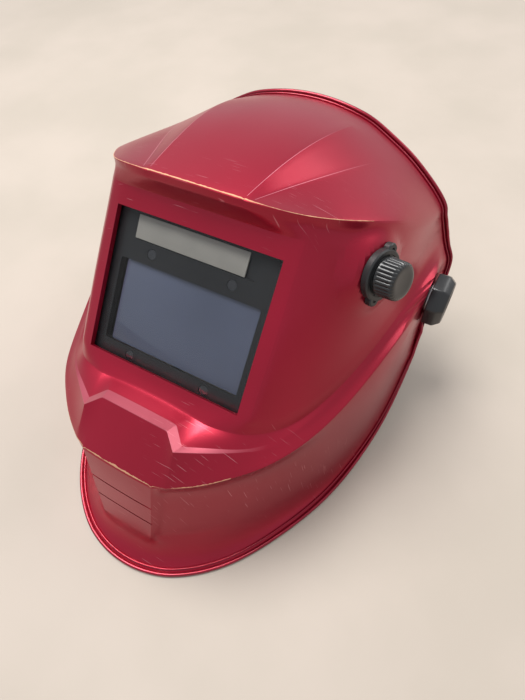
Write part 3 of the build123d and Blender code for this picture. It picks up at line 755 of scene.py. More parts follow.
    # Folds that run up the skin: first row, last row, column and sharpness.
    UPRIGHT_FOLDS = ((3, 6, 2, 1.0), (3, 6, 3, 0.5), (6, 7, 3, 0.8), (7, 9, 2, 0.9), (7, 9, 3, 1.0),
                     (10, 16, 5, 0.4))
    CROWN_FOLDS = (2, 3)
    CROWN_FOLD_SHARP = (1.0, 0.95, 0.8, 0.55, 0.3)
    WINDOW = (11, 14, 4)        # row of its foot, row of its head, column of its side
    CORNER = 5                  # column of the front corner, where the side begins
    BROW = 17                   # row of the brow edge
    BUMPER = 6                  # row of the bumper's lower edge
    JOIN = 0.0002               # points nearer than this are one, in metres
    WEAR_FADE = 8.0             # how fast the wear ends away from its edge, per row
    EASE_TURNS = 40
    FLARE = 1.6
    GROOVES = ((-120.5, 1.1), (-137.5, 1.1))
    PIVOT_FLAT, PIVOT_BLEND, PIVOT_EASE = 21.0, 8.0, 44.0
    SHADE_FLAT, SHADE_BLEND = 15.0, 13.0
    FLARE_FROM, FLARE_FADE = 24.0, 14.0
    LEVELS = 3
    FLOOR_GAP = 0.15
    CREASE_ANGLE = 11
    RIM_ROUND, RIM_ANGLE = 0.6, 62
    GROOVE_WIDE, GROOVE_DEEP = 50.0, 2.4
    BEADS = {"rim_bead": (1.0, 0.7, 1.35), "rim_inner_bead": (4.6, 0.6, 0.65)}

    def __init__(self, ground: Ground) -> None:
        """Keep the ground for turning control points into places.

        Args:
            ground: Turns control points into places.
        """
        self.ground = ground
        self.crown = Crown()

    def _pivot_seat(self, side: float) -> Vector:
        """Middle of the pivot seat on one side, 1 for left and -1 for right.

        Args:
            side: 1 for left and -1 for right.

        Returns:
            The place in metres.
        """
        return self.ground.worn(PIVOT_SEAT[0] * side, *PIVOT_SEAT[1:])

    def place(self, axes: Axes, point: Point) -> Vector:
        """Place of one control point.

        Args:
            axes: The axes that the point is given in.
            point: The control point, in millimetres.

        Returns:
            The place in metres.
        """
        return self.ground.worn(*point) if axes is Axes.WORN else self.ground.lying(*point)

    def _grid(self, name: str, lines: list[list[Vector]], first_row: float) -> bpy.types.Object:
        """Lay a grid of quads through lines of places and number its rows and columns.

        Args:
            name: Name of the piece.
            lines: Places of each row, all rows equally long.
            first_row: Number of the first row.

        Returns:
            The grid, with row and column as float attributes.
        """
        rows, columns = len(lines), len(lines[0])
        bpy.ops.object.select_all(action="DESELECT")
        bpy.ops.mesh.primitive_grid_add(x_subdivisions=columns - 1, y_subdivisions=rows - 1, size=1)
        piece = named(name)
        for key in ("row", "column"):
            piece.data.attributes.new(key, "FLOAT", "POINT")
        for index, vertex in enumerate(piece.data.vertices):
            r, c = divmod(index, columns)
            vertex.co = lines[r][c]
            piece.data.attributes["row"].data[index].value = first_row + r
            piece.data.attributes["column"].data[index].value = c
        piece.data.attributes.new("crease_edge", "FLOAT", "EDGE")
        piece.data.attributes.new("crease_vert", "FLOAT", "POINT")
        return piece

    @staticmethod
    def _crease(piece: bpy.types.Object, columns: int,
                creases: dict[tuple[int, int, int, int], float]) -> None:
        """Make grid edges sharp.

        Args:
            piece: The grid.
            columns: Number of points in a row.
            creases: Sharpness by the row and column of the edge's two ends.
        """
        edges = {tuple(sorted(edge.vertices)): edge.index for edge in piece.data.edges}
        for (r0, c0, r1, c1), value in creases.items():
            key = tuple(sorted((r0 * columns + c0, r1 * columns + c1)))
            piece.data.attributes["crease_edge"].data[edges[key]].value = value

    def _body(self) -> bpy.types.Object:
        """The chin, front and sides, as one grid with the window left out.

        Returns:
            One side of the body, from the midline to the rear edge.
        """
        lines = []
        for row in self.ROWS:
            places = [self.place(row.front_axes, p) for p in row.front]
            lines.append(places + [self.place(row.side_axes, p) for p in row.side])
        columns = len(lines[0])
        piece = self._grid("shell_paint_skin", lines, 0)
        creases = {}
        for r, row in enumerate(self.ROWS):
            for c in range(self.CORNER):
                creases[(r, c, r, c + 1)] = row.front_crease
            for c, value in enumerate(row.side_crease, self.CORNER):
                creases[(r, c, r, c + 1)] = value
        for low, high, column, value in self.UPRIGHT_FOLDS:
            for r in range(low, high):
                creases[(r, column, r + 1, column)] = value
        low, high, edge = self.WINDOW
        for r in range(low, high):
            creases[(r, edge, r + 1, edge)] = 1.0
        for c in range(edge):
            creases[(low, c, low, c + 1)] = 1.0
            creases[(high, c, high, c + 1)] = 1.0
        self._crease(piece, columns, creases)
        for r in (low, high):
            piece.data.attributes["crease_vert"].data[r * columns + edge].value = 1.0
        only(piece)
        bpy.ops.object.mode_set(mode="EDIT")
        bpy.ops.mesh.select_mode(type="FACE")
        bpy.ops.mesh.select_all(action="DESELECT")
        work = bmesh.from_edit_mesh(piece.data)
        work.faces.ensure_lookup_table()
        for face in work.faces:
            cells = [divmod(v.index, columns) for v in face.verts]
            face.select = all(low <= r <= high and c <= edge for r, c in cells)
        bmesh.update_edit_mesh(piece.data)
        bpy.ops.mesh.delete(type="FACE")
        bpy.ops.object.mode_set(mode="OBJECT")
        return piece

    def _crown_grid(self) -> bpy.types.Object:
        """The crown, from the brow edge back to the rear edge.

        Returns:
            The same half of the crown.
        """
        brow = self.ROWS[self.BROW]
        lines = [[self.place(brow.front_axes, p) for p in brow.front]]
        for k, foot in enumerate(brow.side):
            arch = [self.ground.worn(*p) for p in self.crown.arch(k, foot)]
            lines.append(arch + [self.place(brow.side_axes, foot)])
        piece = self._grid("shell_crown_skin", lines, self.BROW)
        corner, columns = self.CORNER, self.CORNER + 1
        for k in range(len(lines)):
            piece.data.attributes["row"].data[k * columns + corner].value = self.BROW
            piece.data.attributes["column"].data[k * columns + corner].value = corner + k
        creases = {}
        for c in range(corner):
            creases[(0, c, 0, c + 1)] = brow.front_crease
        for r, value in enumerate(brow.side_crease):
            creases[(r, corner, r + 1, corner)] = value
        first, second = self.CROWN_FOLDS
        for r, value in enumerate(self.CROWN_FOLD_SHARP):
            creases[(r, first, r + 1, first)] = value
            creases[(r, second, r + 1, second)] = value * 0.95
        self._crease(piece, columns, creases)
        return piece

    def _skin(self) -> bpy.types.Object:
        """Join both grids, mirror them and smooth them.

        Returns:
            The whole skin, with outward normals and no wall.
        """
        body, crown = self._body(), self._crown_grid()
        only(body, crown)
        bpy.ops.object.join()
        only(body)
        bpy.ops.object.mode_set(mode="EDIT")
        bpy.ops.mesh.select_all(action="SELECT")
        bpy.ops.mesh.remove_doubles(threshold=self.JOIN)
        bpy.ops.object.mode_set(mode="OBJECT")
        mirror = body.modifiers.new("both_sides", "MIRROR")
        mirror.merge_threshold = self.JOIN
        apply_all(body)
        tidy_normals(body, 1e-6)
        round_off = body.modifiers.new("round_off", "SUBSURF")
        round_off.levels = round_off.render_levels = self.LEVELS
        apply_all(body)
        only(body)
        bpy.ops.object.mode_set(mode="EDIT")
        bpy.ops.mesh.select_all(action="SELECT")
        bpy.ops.mesh.normals_make_consistent(inside=False)
        bpy.ops.object.mode_set(mode="OBJECT")
        top = max(body.data.polygons, key=lambda face: face.center.z)
        if top.normal.z < 0:
            body.data.flip_normals()
        return body

    @staticmethod
    def _flatten(piece: bpy.types.Object, centre: Vector, axis: Vector, radius: float,
                 blend: float) -> None:
        """Press a round flat seat into the skin.

        Args:
            piece: The skin, before its wall is added.
            centre: Middle of the seat's face.
            axis: Outward direction of the seat.
            radius: Radius of the flat, in millimetres.
            blend: Width of the ring that fades into the skin, in millimetres.
        """
        for vertex in piece.data.vertices:
            offset = vertex.co - centre
            height = offset.dot(axis)
            across = (offset - axis * height).length / MM
            if across < radius + blend and abs(height) < 14 * MM:
                share = min(1.0, (radius + blend - across) / blend)
                share = share * share * (3 - 2 * share)
                vertex.co -= axis * height * share

    def _mark_painted_highlight(self, piece: bpy.types.Object) -> None:
        """Write the painted highlight attribute along the bumper's bevel and the crown's two folds.

        Args:
            piece: The skin, before its wall is added.
        """
        rows = [d.value for d in piece.data.attributes["row"].data]
        columns = [d.value for d in piece.data.attributes["column"].data]
        gate = piece.data.attributes.new("painted_highlight_gate", "FLOAT", "POINT")
        painted_highlight = piece.data.attributes.new("painted_highlight", "FLOAT", "POINT")
        for index, (row, column) in enumerate(zip(rows, columns)):
            # painted highlight: light lines where light catches the bumper's bevel and the crown's folds,
            # strongest near the brow
            on_bevel = self.BUMPER + 0.95 < row < self.BUMPER + 2.05
            on_fold = row > self.BROW + 0.05 and min(abs(column - c) for c in self.CROWN_FOLDS) < 0.01
            gate.data[index].value = 1.0 if on_bevel or on_fold else 0.0
            if row > self.BROW - 1:
                painted_highlight.data[index].value = max(0.0, min(1.0, (self.BROW + 3.2 - row) / 2.2))
            else:
                painted_highlight.data[index].value = 0.32 * max(0.0, min(1.0, (self.CORNER + 0.5 - column) / 1.5))

    def _ease(self, piece: bpy.types.Object, centre: Vector, inner: float, outer: float) -> None:
        """Relax the skin in a ring round a seat, where it folds sharply.

        Args:
            piece: The skin, before its wall is added.
            centre: Middle of the seat.
            inner: Inner radius of the ring, in millimetres.
            outer: Outer radius of the ring, in millimetres.
        """
        work = bmesh.new()
        work.from_mesh(piece.data)
        ring = [v for v in work.verts if inner * MM < (v.co - centre).length < outer * MM]
        ring = [v for v in ring if not v.is_boundary]
        axes = {f"use_axis_{letter}": True for letter in "xyz"}
        for _ in range(self.EASE_TURNS):
            bmesh.ops.smooth_vert(work, verts=ring, factor=0.5, **axes)
        work.to_mesh(piece.data)
        work.free()

    def _flare(self, piece: bpy.types.Object) -> None:
        """Turn the rear edge outwards, so that its bead stands clear of the skin.

        Args:
            piece: The skin, before its wall is added.
        """
        work = bmesh.new()
        work.from_mesh(piece.data)
        work.normal_update()
        row, column = (work.verts.layers.float[key] for key in ("row", "column"))
        edge = [v for v in work.verts if v.is_boundary and v[row] > 0.05]
        edge = [v for v in edge if v[row] > self.BROW + 0.05 or v[column] > self.CORNER + 0.5]
        moves = {}
        for vertex in edge:
            rise = min(1.0, max(0.0, (vertex[row] - 2) / 4)) if vertex[row] <= self.BROW else 1.0
            side = math.copysign(1.0, vertex.co.x)
            away = (vertex.co - self._pivot_seat(side)).length / MM
            rise *= min(1.0, max(0.0, (away - self.FLARE_FROM) / self.FLARE_FADE))
            moves[vertex] = vertex.normal * self.FLARE * rise * MM
            for link in vertex.link_edges:
                other = link.other_vert(vertex)
                if not other.is_boundary:
                    moves[other] = other.normal * self.FLARE * 0.3 * rise * MM
        for vertex, move in moves.items():
            vertex.co += move
        work.to_mesh(piece.data)
        work.free()

    def _mark_wear(self, piece: bpy.types.Object) -> None:
        """Write the wear attribute along the brow edge and under the bumper.

        Args:
            piece: The skin, before its wall is added.
        """
        rows = [d.value for d in piece.data.attributes["row"].data]
        columns = [d.value for d in piece.data.attributes["column"].data]
        wear = piece.data.attributes.new("wear", "FLOAT", "POINT")
        for index, (row, column) in enumerate(zip(rows, columns)):
            brow = 1 - abs(row - self.BROW) * self.WEAR_FADE
            bumper = 0.9 - abs(row - self.BUMPER) * self.WEAR_FADE
            reach = max(0.0, min(1.0, 7.6 - column)) if row <= self.BROW else 1.0
            low = bumper if column < self.CORNER else 0.0
            wear.data[index].value = max(0.0, max(brow * reach, low))

    def _beads(self, skin: bpy.types.Object) -> list[bpy.types.Object]:
        """Roll two beads round the rim, one on the edge and one just inside it.

        Args:
            skin: The skin, before its wall is added.

        Returns:
            The bead on the edge and the bead inside it.
        """
        work = bmesh.new()
        work.from_mesh(skin.data)
        work.normal_update()
        links: dict[int, list[int]] = {}
        for edge in work.edges:
            if edge.is_boundary:
                for vertex in edge.verts:
                    links.setdefault(vertex.index, []).append(edge.other_vert(vertex).index)
        work.verts.ensure_lookup_table()
        start = min(links, key=lambda i: work.verts[i].co.z + work.verts[i].co.y)
        loop = [start, links[start][0]]
        while loop[-1] != start:
            loop.append(next(i for i in links[loop[-1]] if i != loop[-2]))
        loop.pop()
        rings: dict[str, list[Vector]] = {name: [] for name in self.BEADS}
        for vertex in (work.verts[i] for i in loop):
            inward = Vector((0, 0, 0))
            for edge in vertex.link_edges:
                if not edge.is_boundary:
                    inward += (edge.other_vert(vertex).co - vertex.co).normalized()
            inward.normalize()
            for name, (inset, proud, _) in self.BEADS.items():
                rings[name].append(vertex.co + inward * inset * MM + vertex.normal * proud * MM)
        work.free()
        return [self._tube(name, places, self.BEADS[name][2]) for name, places in rings.items()]

    @staticmethod
    def _tube(name: str, places: list[Vector], radius: float) -> bpy.types.Object:
        """Sweep a round bead along a closed line, kept above the ground.

        Args:
            name: Name of the bead.
            places: Points of the line, in order.
            radius: Radius of the bead, in millimetres.

        Returns:
            The bead as a mesh.
        """
        curve = bpy.data.curves.new(name, "CURVE")
        curve.dimensions = "3D"
        spline = curve.splines.new("POLY")
        spline.points.add(len(places) - 1)
        for point, place in zip(spline.points, places):
            place.z = max(place.z, (radius + 0.05) * MM)
            point.co = (*place, 1.0)
        spline.use_cyclic_u = True
        curve.bevel_depth = radius * MM
        curve.bevel_resolution = 2
        piece = bpy.data.objects.new(name, curve)
        bpy.context.scene.collection.objects.link(piece)
        only(piece)
        bpy.ops.object.convert(target="MESH")
        piece = named(name)
        smooth(piece, 60)
        return piece

    def _cut_grooves(self, piece: bpy.types.Object) -> None:
        """Cut the two fine grooves across the chin panel.

        Args:
            piece: The skin with its wall.
        """
        tilt = self.ground.worn_matrix(0, 0, 0).to_3x3()
        inward = (tilt @ Vector((0, 1, 0))).normalized()
        for height, width in self.GROOVES:
            found, place, _, _ = piece.ray_cast(self.ground.worn(0, -60, height), inward)
            if not found:
                continue
            bpy.ops.object.select_all(action="DESELECT")
            bpy.ops.mesh.primitive_cube_add(size=1)
            cutter = named("groove_cutter")
            cutter.data.transform(Matrix.Diagonal((self.GROOVE_WIDE, self.GROOVE_DEEP, width, 1.0)))
            turn = self.ground.worn_matrix(0, 0, 0)
            turn.translation = place
            settle(cutter, turn)
            cut = piece.modifiers.new("groove", "BOOLEAN")
            cut.operation = "DIFFERENCE"
            cut.solver = "EXACT"
            cut.object = cutter
            apply_all(piece)
            bpy.data.objects.remove(cutter)

    def build(self) -> list[bpy.types.Object]:
        """Build the shell and its beads.

        Returns:
            The shell, then the beads.
        """
        skin = self._skin()
        self._mark_wear(skin)
        self._mark_painted_highlight(skin)
        for side in (-1, 1):
            seat = self._pivot_seat(side)
            self._flatten(skin, seat, Vector((side, 0, 0)), self.PIVOT_FLAT, self.PIVOT_BLEND)
            self._ease(skin, seat, self.PIVOT_FLAT, self.PIVOT_EASE)
        tilt = self.ground.worn_matrix(0, 0, 0).to_3x3()
        axis = (tilt @ Vector(SHADE_OUT)).normalized()
        self._flatten(skin, self.ground.worn(*SHADE_SEAT), axis, self.SHADE_FLAT, self.SHADE_BLEND)
        self._flare(skin)
        beads = self._beads(skin)
        wall = skin.modifiers.new("wall", "SOLIDIFY")
        wall.thickness = self.WALL * MM
        wall.offset = -1.0
        wall.use_quality_normals = True
        apply_all(skin)
        for vertex in skin.data.vertices:
            vertex.co.z = max(vertex.co.z, self.FLOOR_GAP * MM)
        self._cut_grooves(skin)
        bevel(skin, self.RIM_ROUND * MM, 2, self.RIM_ANGLE)
        smooth(skin, self.CREASE_ANGLE)
        skin.name = "shell_painted"
        LOG.info("shell faces: %d", len(skin.data.polygons))
        return [skin, *beads]


# ---- controls ----------------------------------------------------------
@dataclass(frozen=True)
class TensionKnobSizes:
    """Sizes of the eight-sided side knob, in millimetres from the shell outwards."""

    foot: float = 120.52
    height: float = 12.5
    corner: float = 19.4
    top_corner: float = 15.6
    shoulder: float = 0.62
    dish: float = 11.5
    dish_depth: float = 1.2
    rounding: float = 1.3


class TensionKnob:
    """A faceted side knob with a dished cap."""

    def __init__(self, ground: Ground, side: int, sizes: TensionKnobSizes = TensionKnobSizes()) -> None:
        """Keep the side, 1 for the wearer's left and -1 for the right.

        Args:
            ground: Turns worn millimetres into places.
            side: 1 for the wearer's left and -1 for the right.
            sizes: Sizes of the knob.
        """
        self.ground = ground
        self.side = side
        self.sizes = sizes

    def build(self) -> bpy.types.Object:
        """Build the knob by insetting and extruding an eight-sided drum.

        Returns:
            The knob in its place.
        """
        s = self.sizes
        bpy.ops.object.select_all(action="DESELECT")
        bpy.ops.mesh.primitive_cylinder_add(vertices=8, radius=s.corner, depth=s.height)
        knob = named("tension_knob_" + ("left" if self.side > 0 else "right") + "_grip")
        knob.data.transform(Matrix.Translation((0, 0, s.height / 2)) @ Matrix.Rotation(math.pi / 8, 4, "Z"))
        bpy.ops.object.mode_set(mode="EDIT")
        pick_faces(knob, lambda c, n: n.z > 0.9)
        crown = s.height * (1 - s.shoulder)
        bpy.ops.transform.translate(value=(0, 0, -crown))
        bpy.ops.mesh.extrude_region_move(TRANSFORM_OT_translate={"value": (0, 0, crown)})
        bpy.ops.transform.resize(value=(s.top_corner / s.corner,) * 2 + (1,))
        bpy.ops.mesh.inset(thickness=s.top_corner - s.dish - 1.5, depth=0)
        bpy.ops.mesh.inset(thickness=1.5, depth=-s.dish_depth)
        bpy.ops.mesh.inset(thickness=1.0, depth=0)
        pick_faces(knob, lambda c, n: n.z < -0.9)
        bpy.ops.mesh.inset(thickness=1.4, depth=0)
        bpy.ops.object.mode_set(mode="OBJECT")
        tidy_normals(knob, 1e-4)
        bevel(knob, s.rounding, 3, 20)
        smooth(knob, 25)
        turn = Matrix.Rotation(math.pi / 2 * self.side, 4, "Y")
        base = self.ground.worn_matrix(0, *PIVOT_SEAT[1:]) @ Matrix.Translation((s.foot * self.side, 0, 0))
        return settle(knob, base @ turn)


@dataclass(frozen=True)
class ShadeControlSizes:
    """Sizes of the shade control, in millimetres along its axis from the shell."""

    plate_low: float = 0.1
    plate_high: float = 4.2
    plate_radius: float = 15.0
    ear_reach: float = 14.3
    ear_radius: float = 4.0
    knob_low: float = 4.6
    knob_high: float = 16.9
    knob_radius: float = 11.3
    flutes: int = 28
    flute_depth: float = 0.7


class ShadeControl:
    """The fluted shade knob and the round base plate with ears behind it."""

    def __init__(self, ground: Ground, sizes: ShadeControlSizes = ShadeControlSizes()) -> None:
        """Find the control's own axes on the side of the shell.

        Args:
            ground: Turns worn millimetres into places.
            sizes: Sizes of the control.
        """
        self.sizes = sizes
        out = Vector(SHADE_OUT).normalized()
        along = Vector((0, 0, 1))
        turn = Matrix((along, out.cross(along), out)).transposed().to_4x4()
        self.place = ground.worn_matrix(*SHADE_SEAT) @ turn

    def plate(self) -> bpy.types.Object:
        """Build the base plate: a turned disc with an ear joined at each end.

        Returns:
            The base plate in its place.
        """
        s = self.sizes
        rise = s.plate_high - 0.7
        disc = lathe("shade_plate_moulded", (
            (0, s.plate_low), (s.plate_radius, s.plate_low), (s.plate_radius, rise),
            (s.plate_radius - 0.9, s.plate_high), (12.2, s.plate_high), (11.9, s.plate_high - 0.6),
            (10.9, s.plate_high - 0.6), (10.7, s.plate_high - 0.1), (0, s.plate_high - 0.1)), 56)
        for end in (-1, 1):
            ear = lathe("ear", ((0, s.plate_low), (s.ear_radius, s.plate_low), (s.ear_radius, rise - 0.3),
                                (s.ear_radius - 0.6, s.plate_high - 0.3), (1.5, s.plate_high - 0.3),
                                (1.2, s.plate_high - 1.0), (0, s.plate_high - 1.0)), 28)
            ear.data.transform(Matrix.Translation((s.ear_reach * end, 0, 0)))
            join = disc.modifiers.new("ear", "BOOLEAN")
            join.operation = "UNION"
            join.solver = "EXACT"
            join.object = ear
            apply_all(disc)
            bpy.data.objects.remove(ear)
        smooth(disc, 30)
        return settle(disc, self.place)

    def knob(self) -> bpy.types.Object:
        """Build the knob: a turned cap whose wall is drawn in between the flutes.

        Returns:
            The knob in its place.
        """
        s = self.sizes
        r = s.knob_radius
        steps = s.flutes * 8
        cap = lathe("shade_knob_fluted", (
            (0, s.knob_low), (r - 0.6, s.knob_low), (r + 0.1, s.knob_low + 0.6), (r + 0.1, s.knob_low + 1.6),
            (r - 0.1, s.knob_low + 2.0), (r - 0.3, s.knob_high - 3.0), (r - 0.6, s.knob_high - 1.4),
            (r - 1.6, s.knob_high - 0.5), (r - 3.2, s.knob_high - 0.1), (r - 5.0, s.knob_high - 0.35),
            (0, s.knob_high - 0.5)), steps)
        for vertex in cap.data.vertices:
            x, y, z = vertex.co
            if s.knob_low + 1.9 < z < s.knob_high - 1.0 and math.hypot(x, y) > r - 2:
                wave = abs(math.sin(math.atan2(y, x) * s.flutes / 2))
                pull = 1 - s.flute_depth * (1 - wave) ** 1.5 / math.hypot(x, y)
                vertex.co.x, vertex.co.y = x * pull, y * pull
        smooth(cap, 40)
        return settle(cap, self.place)


# ---- window ------------------------------------------------------------
@dataclass(frozen=True)
class Sheet:
    """A rounded slab lying across the window, in worn millimetres."""

    name: str
    low: tuple[float, float]
    high: tuple[float, float]
    near: float
    far: float
    corner: float
    edge: float = 0.2

    def build(self, ground: Ground) -> bpy.types.Object:
        """Build the slab: a plane whose corners are rounded, then extruded and bevelled.

        Args:
            ground: Turns worn millimetres into places.

        Returns:
            The slab in its place.
        """
        bpy.ops.object.select_all(action="DESELECT")
        bpy.ops.mesh.primitive_plane_add(size=1)
        slab = named(self.name)
        width, height = self.high[0] - self.low[0], self.high[1] - self.low[1]
        middle = ((self.low[0] + self.high[0]) / 2, (self.low[1] + self.high[1]) / 2)
        slab.data.transform(Matrix.Diagonal((width, height, 1, 1)))
        bpy.ops.object.mode_set(mode="EDIT")
        bpy.ops.mesh.select_all(action="SELECT")
        if self.corner > 0:
            bpy.ops.mesh.bevel(offset=self.corner, segments=5, affect="VERTICES")
        bpy.ops.mesh.select_all(action="SELECT")
        bpy.ops.mesh.extrude_region_move(TRANSFORM_OT_translate={"value": (0, 0, self.far - self.near)})
        bpy.ops.mesh.select_all(action="SELECT")
        bpy.ops.mesh.normals_make_consistent(inside=False)
        bpy.ops.object.mode_set(mode="OBJECT")
        bevel(slab, self.edge, 2, 40)
        smooth(slab, 30)
        upright = Matrix.Rotation(math.pi / 2, 4, "X")
        shift = Matrix.Translation((middle[0], self.far, middle[1]))
        return settle(slab, ground.worn_matrix(0, 0, 0) @ shift @ upright)


class Window:
    """The cover lens and the front of the filter cartridge behind it."""

    SHEETS = (
        (Sheet("cover_lens_clear", (-57, -47), (57, 47), 3.3, 4.5, 3.0), "front_cover_lens", Slot.COVER),
        (Sheet("filter_glass_dark", (-45, -37), (51, 15.5), 6.7, 9.7, 1.5), "filter_glass", Slot.FILTER),
        (Sheet("solar_strip", (-42, 29), (34, 43), 5.0, 6.2, 0.4), "solar_cell", Slot.SOLAR),
    )

    def __init__(self, ground: Ground) -> None:
        """Keep the ground.

        Args:
            ground: Turns worn millimetres into places.
        """
        self.ground = ground

    def build(self) -> list[tuple[bpy.types.Object, str, Slot]]:
        """Build each sheet with the node that it stands for and its slot.

        Returns:
            Each sheet, with its node and its slot.
        """
        return [(sheet.build(self.ground), node, slot) for sheet, node, slot in self.SHEETS]


# ---- soft pads ---------------------------------------------------------
@dataclass(frozen=True)
class PadSizes:
    """How a pad is filled."""

    voxel: float = 0.004
    shrink: float = 0.0012
    pressure: float = 4.0
    cap: float = 0.006
    frames: int = 20
    fill: float = 0.6


class SoftPad:
    """A foam pad that swells from the shape of its CAD node."""

    def __init__(self, node: str, name: str, sizes: PadSizes = PadSizes()) -> None:
        """Keep the node that the pad stands for and the name of the pad.

        Args:
            node: The CAD node that the pad stands for.
            name: Name of the pad.
            sizes: How the pad is filled.
        """
        self.node = node
        self.name = name
        self.sizes = sizes

    def build(self) -> bpy.types.Object:
        """Copy the node, remesh it evenly and let cloth swell over its fill.
        """
        source = frame["nodes"][self.node]
        pad = bpy.data.objects.new(self.name, source.data.copy())
        pad.data.materials.clear()
        bpy.context.scene.collection.objects.link(pad)
        only(pad)
        tidy_normals(pad, 1e-5)
        even = pad.modifiers.new("even", "REMESH")
        even.mode = "VOXEL"
        even.voxel_size = self.sizes.voxel
        pull = pad.modifiers.new("pull_in", "DISPLACE")
        pull.strength = -self.sizes.shrink
        pull.mid_level = 0.0
        apply_all(pad)
        self._swell(pad)
        finer = pad.modifiers.new("finer", "SUBSURF")
        finer.levels = finer.render_levels = 1
        apply_all(pad)
        smooth(pad, 80)
        return pad

    def _swell(self, pad: bpy.types.Object) -> None:
        """Run the cloth, then limit how far each point has moved.

        Args:
            pad: The evenly remeshed pad.
        """
        rest = [v.co.copy() for v in pad.data.vertices]
        cloth = pad.modifiers.new("swell", "CLOTH")
        cloth.settings.use_pressure = True
        cloth.settings.uniform_pressure_force = self.sizes.pressure
        cloth.settings.quality = 5
        cloth.settings.mass = 0.3
        cloth.settings.tension_stiffness = 15
        cloth.settings.compression_stiffness = 15
        cloth.settings.bending_stiffness = 0.5
        cloth.settings.effector_weights.gravity = 0
        scene = bpy.context.scene
        for step in range(1, self.sizes.frames + 1):
            scene.frame_set(step)
        apply_all(pad)
        scene.frame_set(1)
        for vertex, start in zip(pad.data.vertices, rest):
            move = vertex.co - start
            if move.length > self.sizes.cap:
                vertex.co = start + move.normalized() * self.sizes.cap


# ---- palette -----------------------------------------------------------
RIM_FINISH = Finish("red_rim_paint", (0.3, 0.006, 0.026), (0.24, 0.005, 0.02), roughness=0.3, spread=0.04,
                    metallic=0.7, coat=0.4, coat_roughness=0.12, broad=30.0, bump=0.05)

FINISHES = {
    Slot.PAINT: Finish("red_metallic_paint", (0.36, 0.003, 0.026), (0.30, 0.002, 0.02), roughness=0.34,
                       spread=0.05, metallic=0.68, coat=0.28, coat_roughness=0.22, broad=9.0, fine=2600.0,
                       bump=0.2, depth=0.00012, scratch=0.55, scratch_colour=(0.75, 0.3, 0.34), chip=True),
    Slot.COVER: Clear("cover_lens_clear_plastic", (0.02, 0.022, 0.025), 0.015, 0.12, 1.45),
    Slot.FILTER: Finish("filter_dark_glass", (0.085, 0.1, 0.16), (0.1, 0.115, 0.18), roughness=0.12,
                        coat=1.0, coat_roughness=0.03, bump=0.0, broad=6.0),
    Slot.SOLAR: Finish("solar_cell_film", (0.31, 0.3, 0.27), (0.38, 0.365, 0.33), roughness=0.35,
                       coat=0.6, broad=20.0),
    Slot.SENSOR: Finish("sensor_window", (0.008, 0.008, 0.01), (0.03, 0.03, 0.035), roughness=0.1, coat=1.0),
    Slot.BOARD: Finish("board_green", (0.01, 0.09, 0.03), (0.015, 0.12, 0.04), roughness=0.45),
    Slot.STEEL: Finish("plated_steel", (0.5, 0.5, 0.5), (0.42, 0.42, 0.43), roughness=0.3, metallic=1.0),
    Slot.PLASTIC: Finish("black_moulding", (0.012, 0.012, 0.013), (0.018, 0.018, 0.019), roughness=0.42,
                         bump=0.25, depth=0.00015),
    Slot.KNOB: Finish("black_gloss_knob", (0.008, 0.008, 0.009), (0.012, 0.012, 0.013), roughness=0.34,
                      coat=0.25, coat_roughness=0.2, bump=0.05),
    Slot.DIAL: Finish("grey_dial_moulding", (0.09, 0.09, 0.095), (0.11, 0.11, 0.115), roughness=0.45),
    Slot.LEAD: Finish("lead_rubber", (0.01, 0.01, 0.01), (0.014, 0.014, 0.014), roughness=0.6),
    Slot.CLOTH: Finish("sweat_cloth", (0.02, 0.021, 0.023), (0.035, 0.036, 0.038), roughness=0.9, fine=2200.0,
                       bump=0.8, depth=0.0006, sheen=0.4),
}


@dataclass
class Palette:
    """Materials of the slots, built once."""

    made: dict[str, bpy.types.Material] = field(default_factory=dict)

    @classmethod
    def build(cls) -> "Palette":
        """Build every finish with the shared effects.

        Returns:
            The palette, with every material made.
        """
        effects = Effects.build()
        made = {slot.value: finish.material(effects) for slot, finish in FINISHES.items()}
        made[RIM_FINISH.name] = RIM_FINISH.material(effects)
        return cls(made)

    def dress(self, piece: bpy.types.Object, slot: str) -> None:
        """Give a piece one material.

        Args:
            piece: The piece to dress.
            slot: Name of the slot or of the finish.
        """
        piece.data.materials.clear()
        piece.data.materials.append(self.made[slot])


# ---- studio ------------------------------------------------------------
@dataclass(frozen=True)
class Lamp:
    """A soft area light aimed at the helmet, in metres."""

    name: str
    spot: Point
    size: float
    power: float
    colour: Point = (1.0, 0.985, 0.96)

    def build(self, aim: Vector) -> bpy.types.Object:
        """Place the light and turn it to the aim.

        Args:
            aim: The point that it faces.

        Returns:
            The light's object.
        """
        data = bpy.data.lights.new(self.name, "AREA")
        data.shape = "DISK"
        data.size = self.size
        data.energy = self.power
        data.color = self.colour
        lamp = bpy.data.objects.new(self.name, data)
        lamp.location = self.spot
        lamp.rotation_mode = "QUATERNION"
        lamp.rotation_quaternion = (aim - Vector(self.spot)).to_track_quat("-Z", "Y")
        bpy.context.scene.collection.objects.link(lamp)
        return lamp


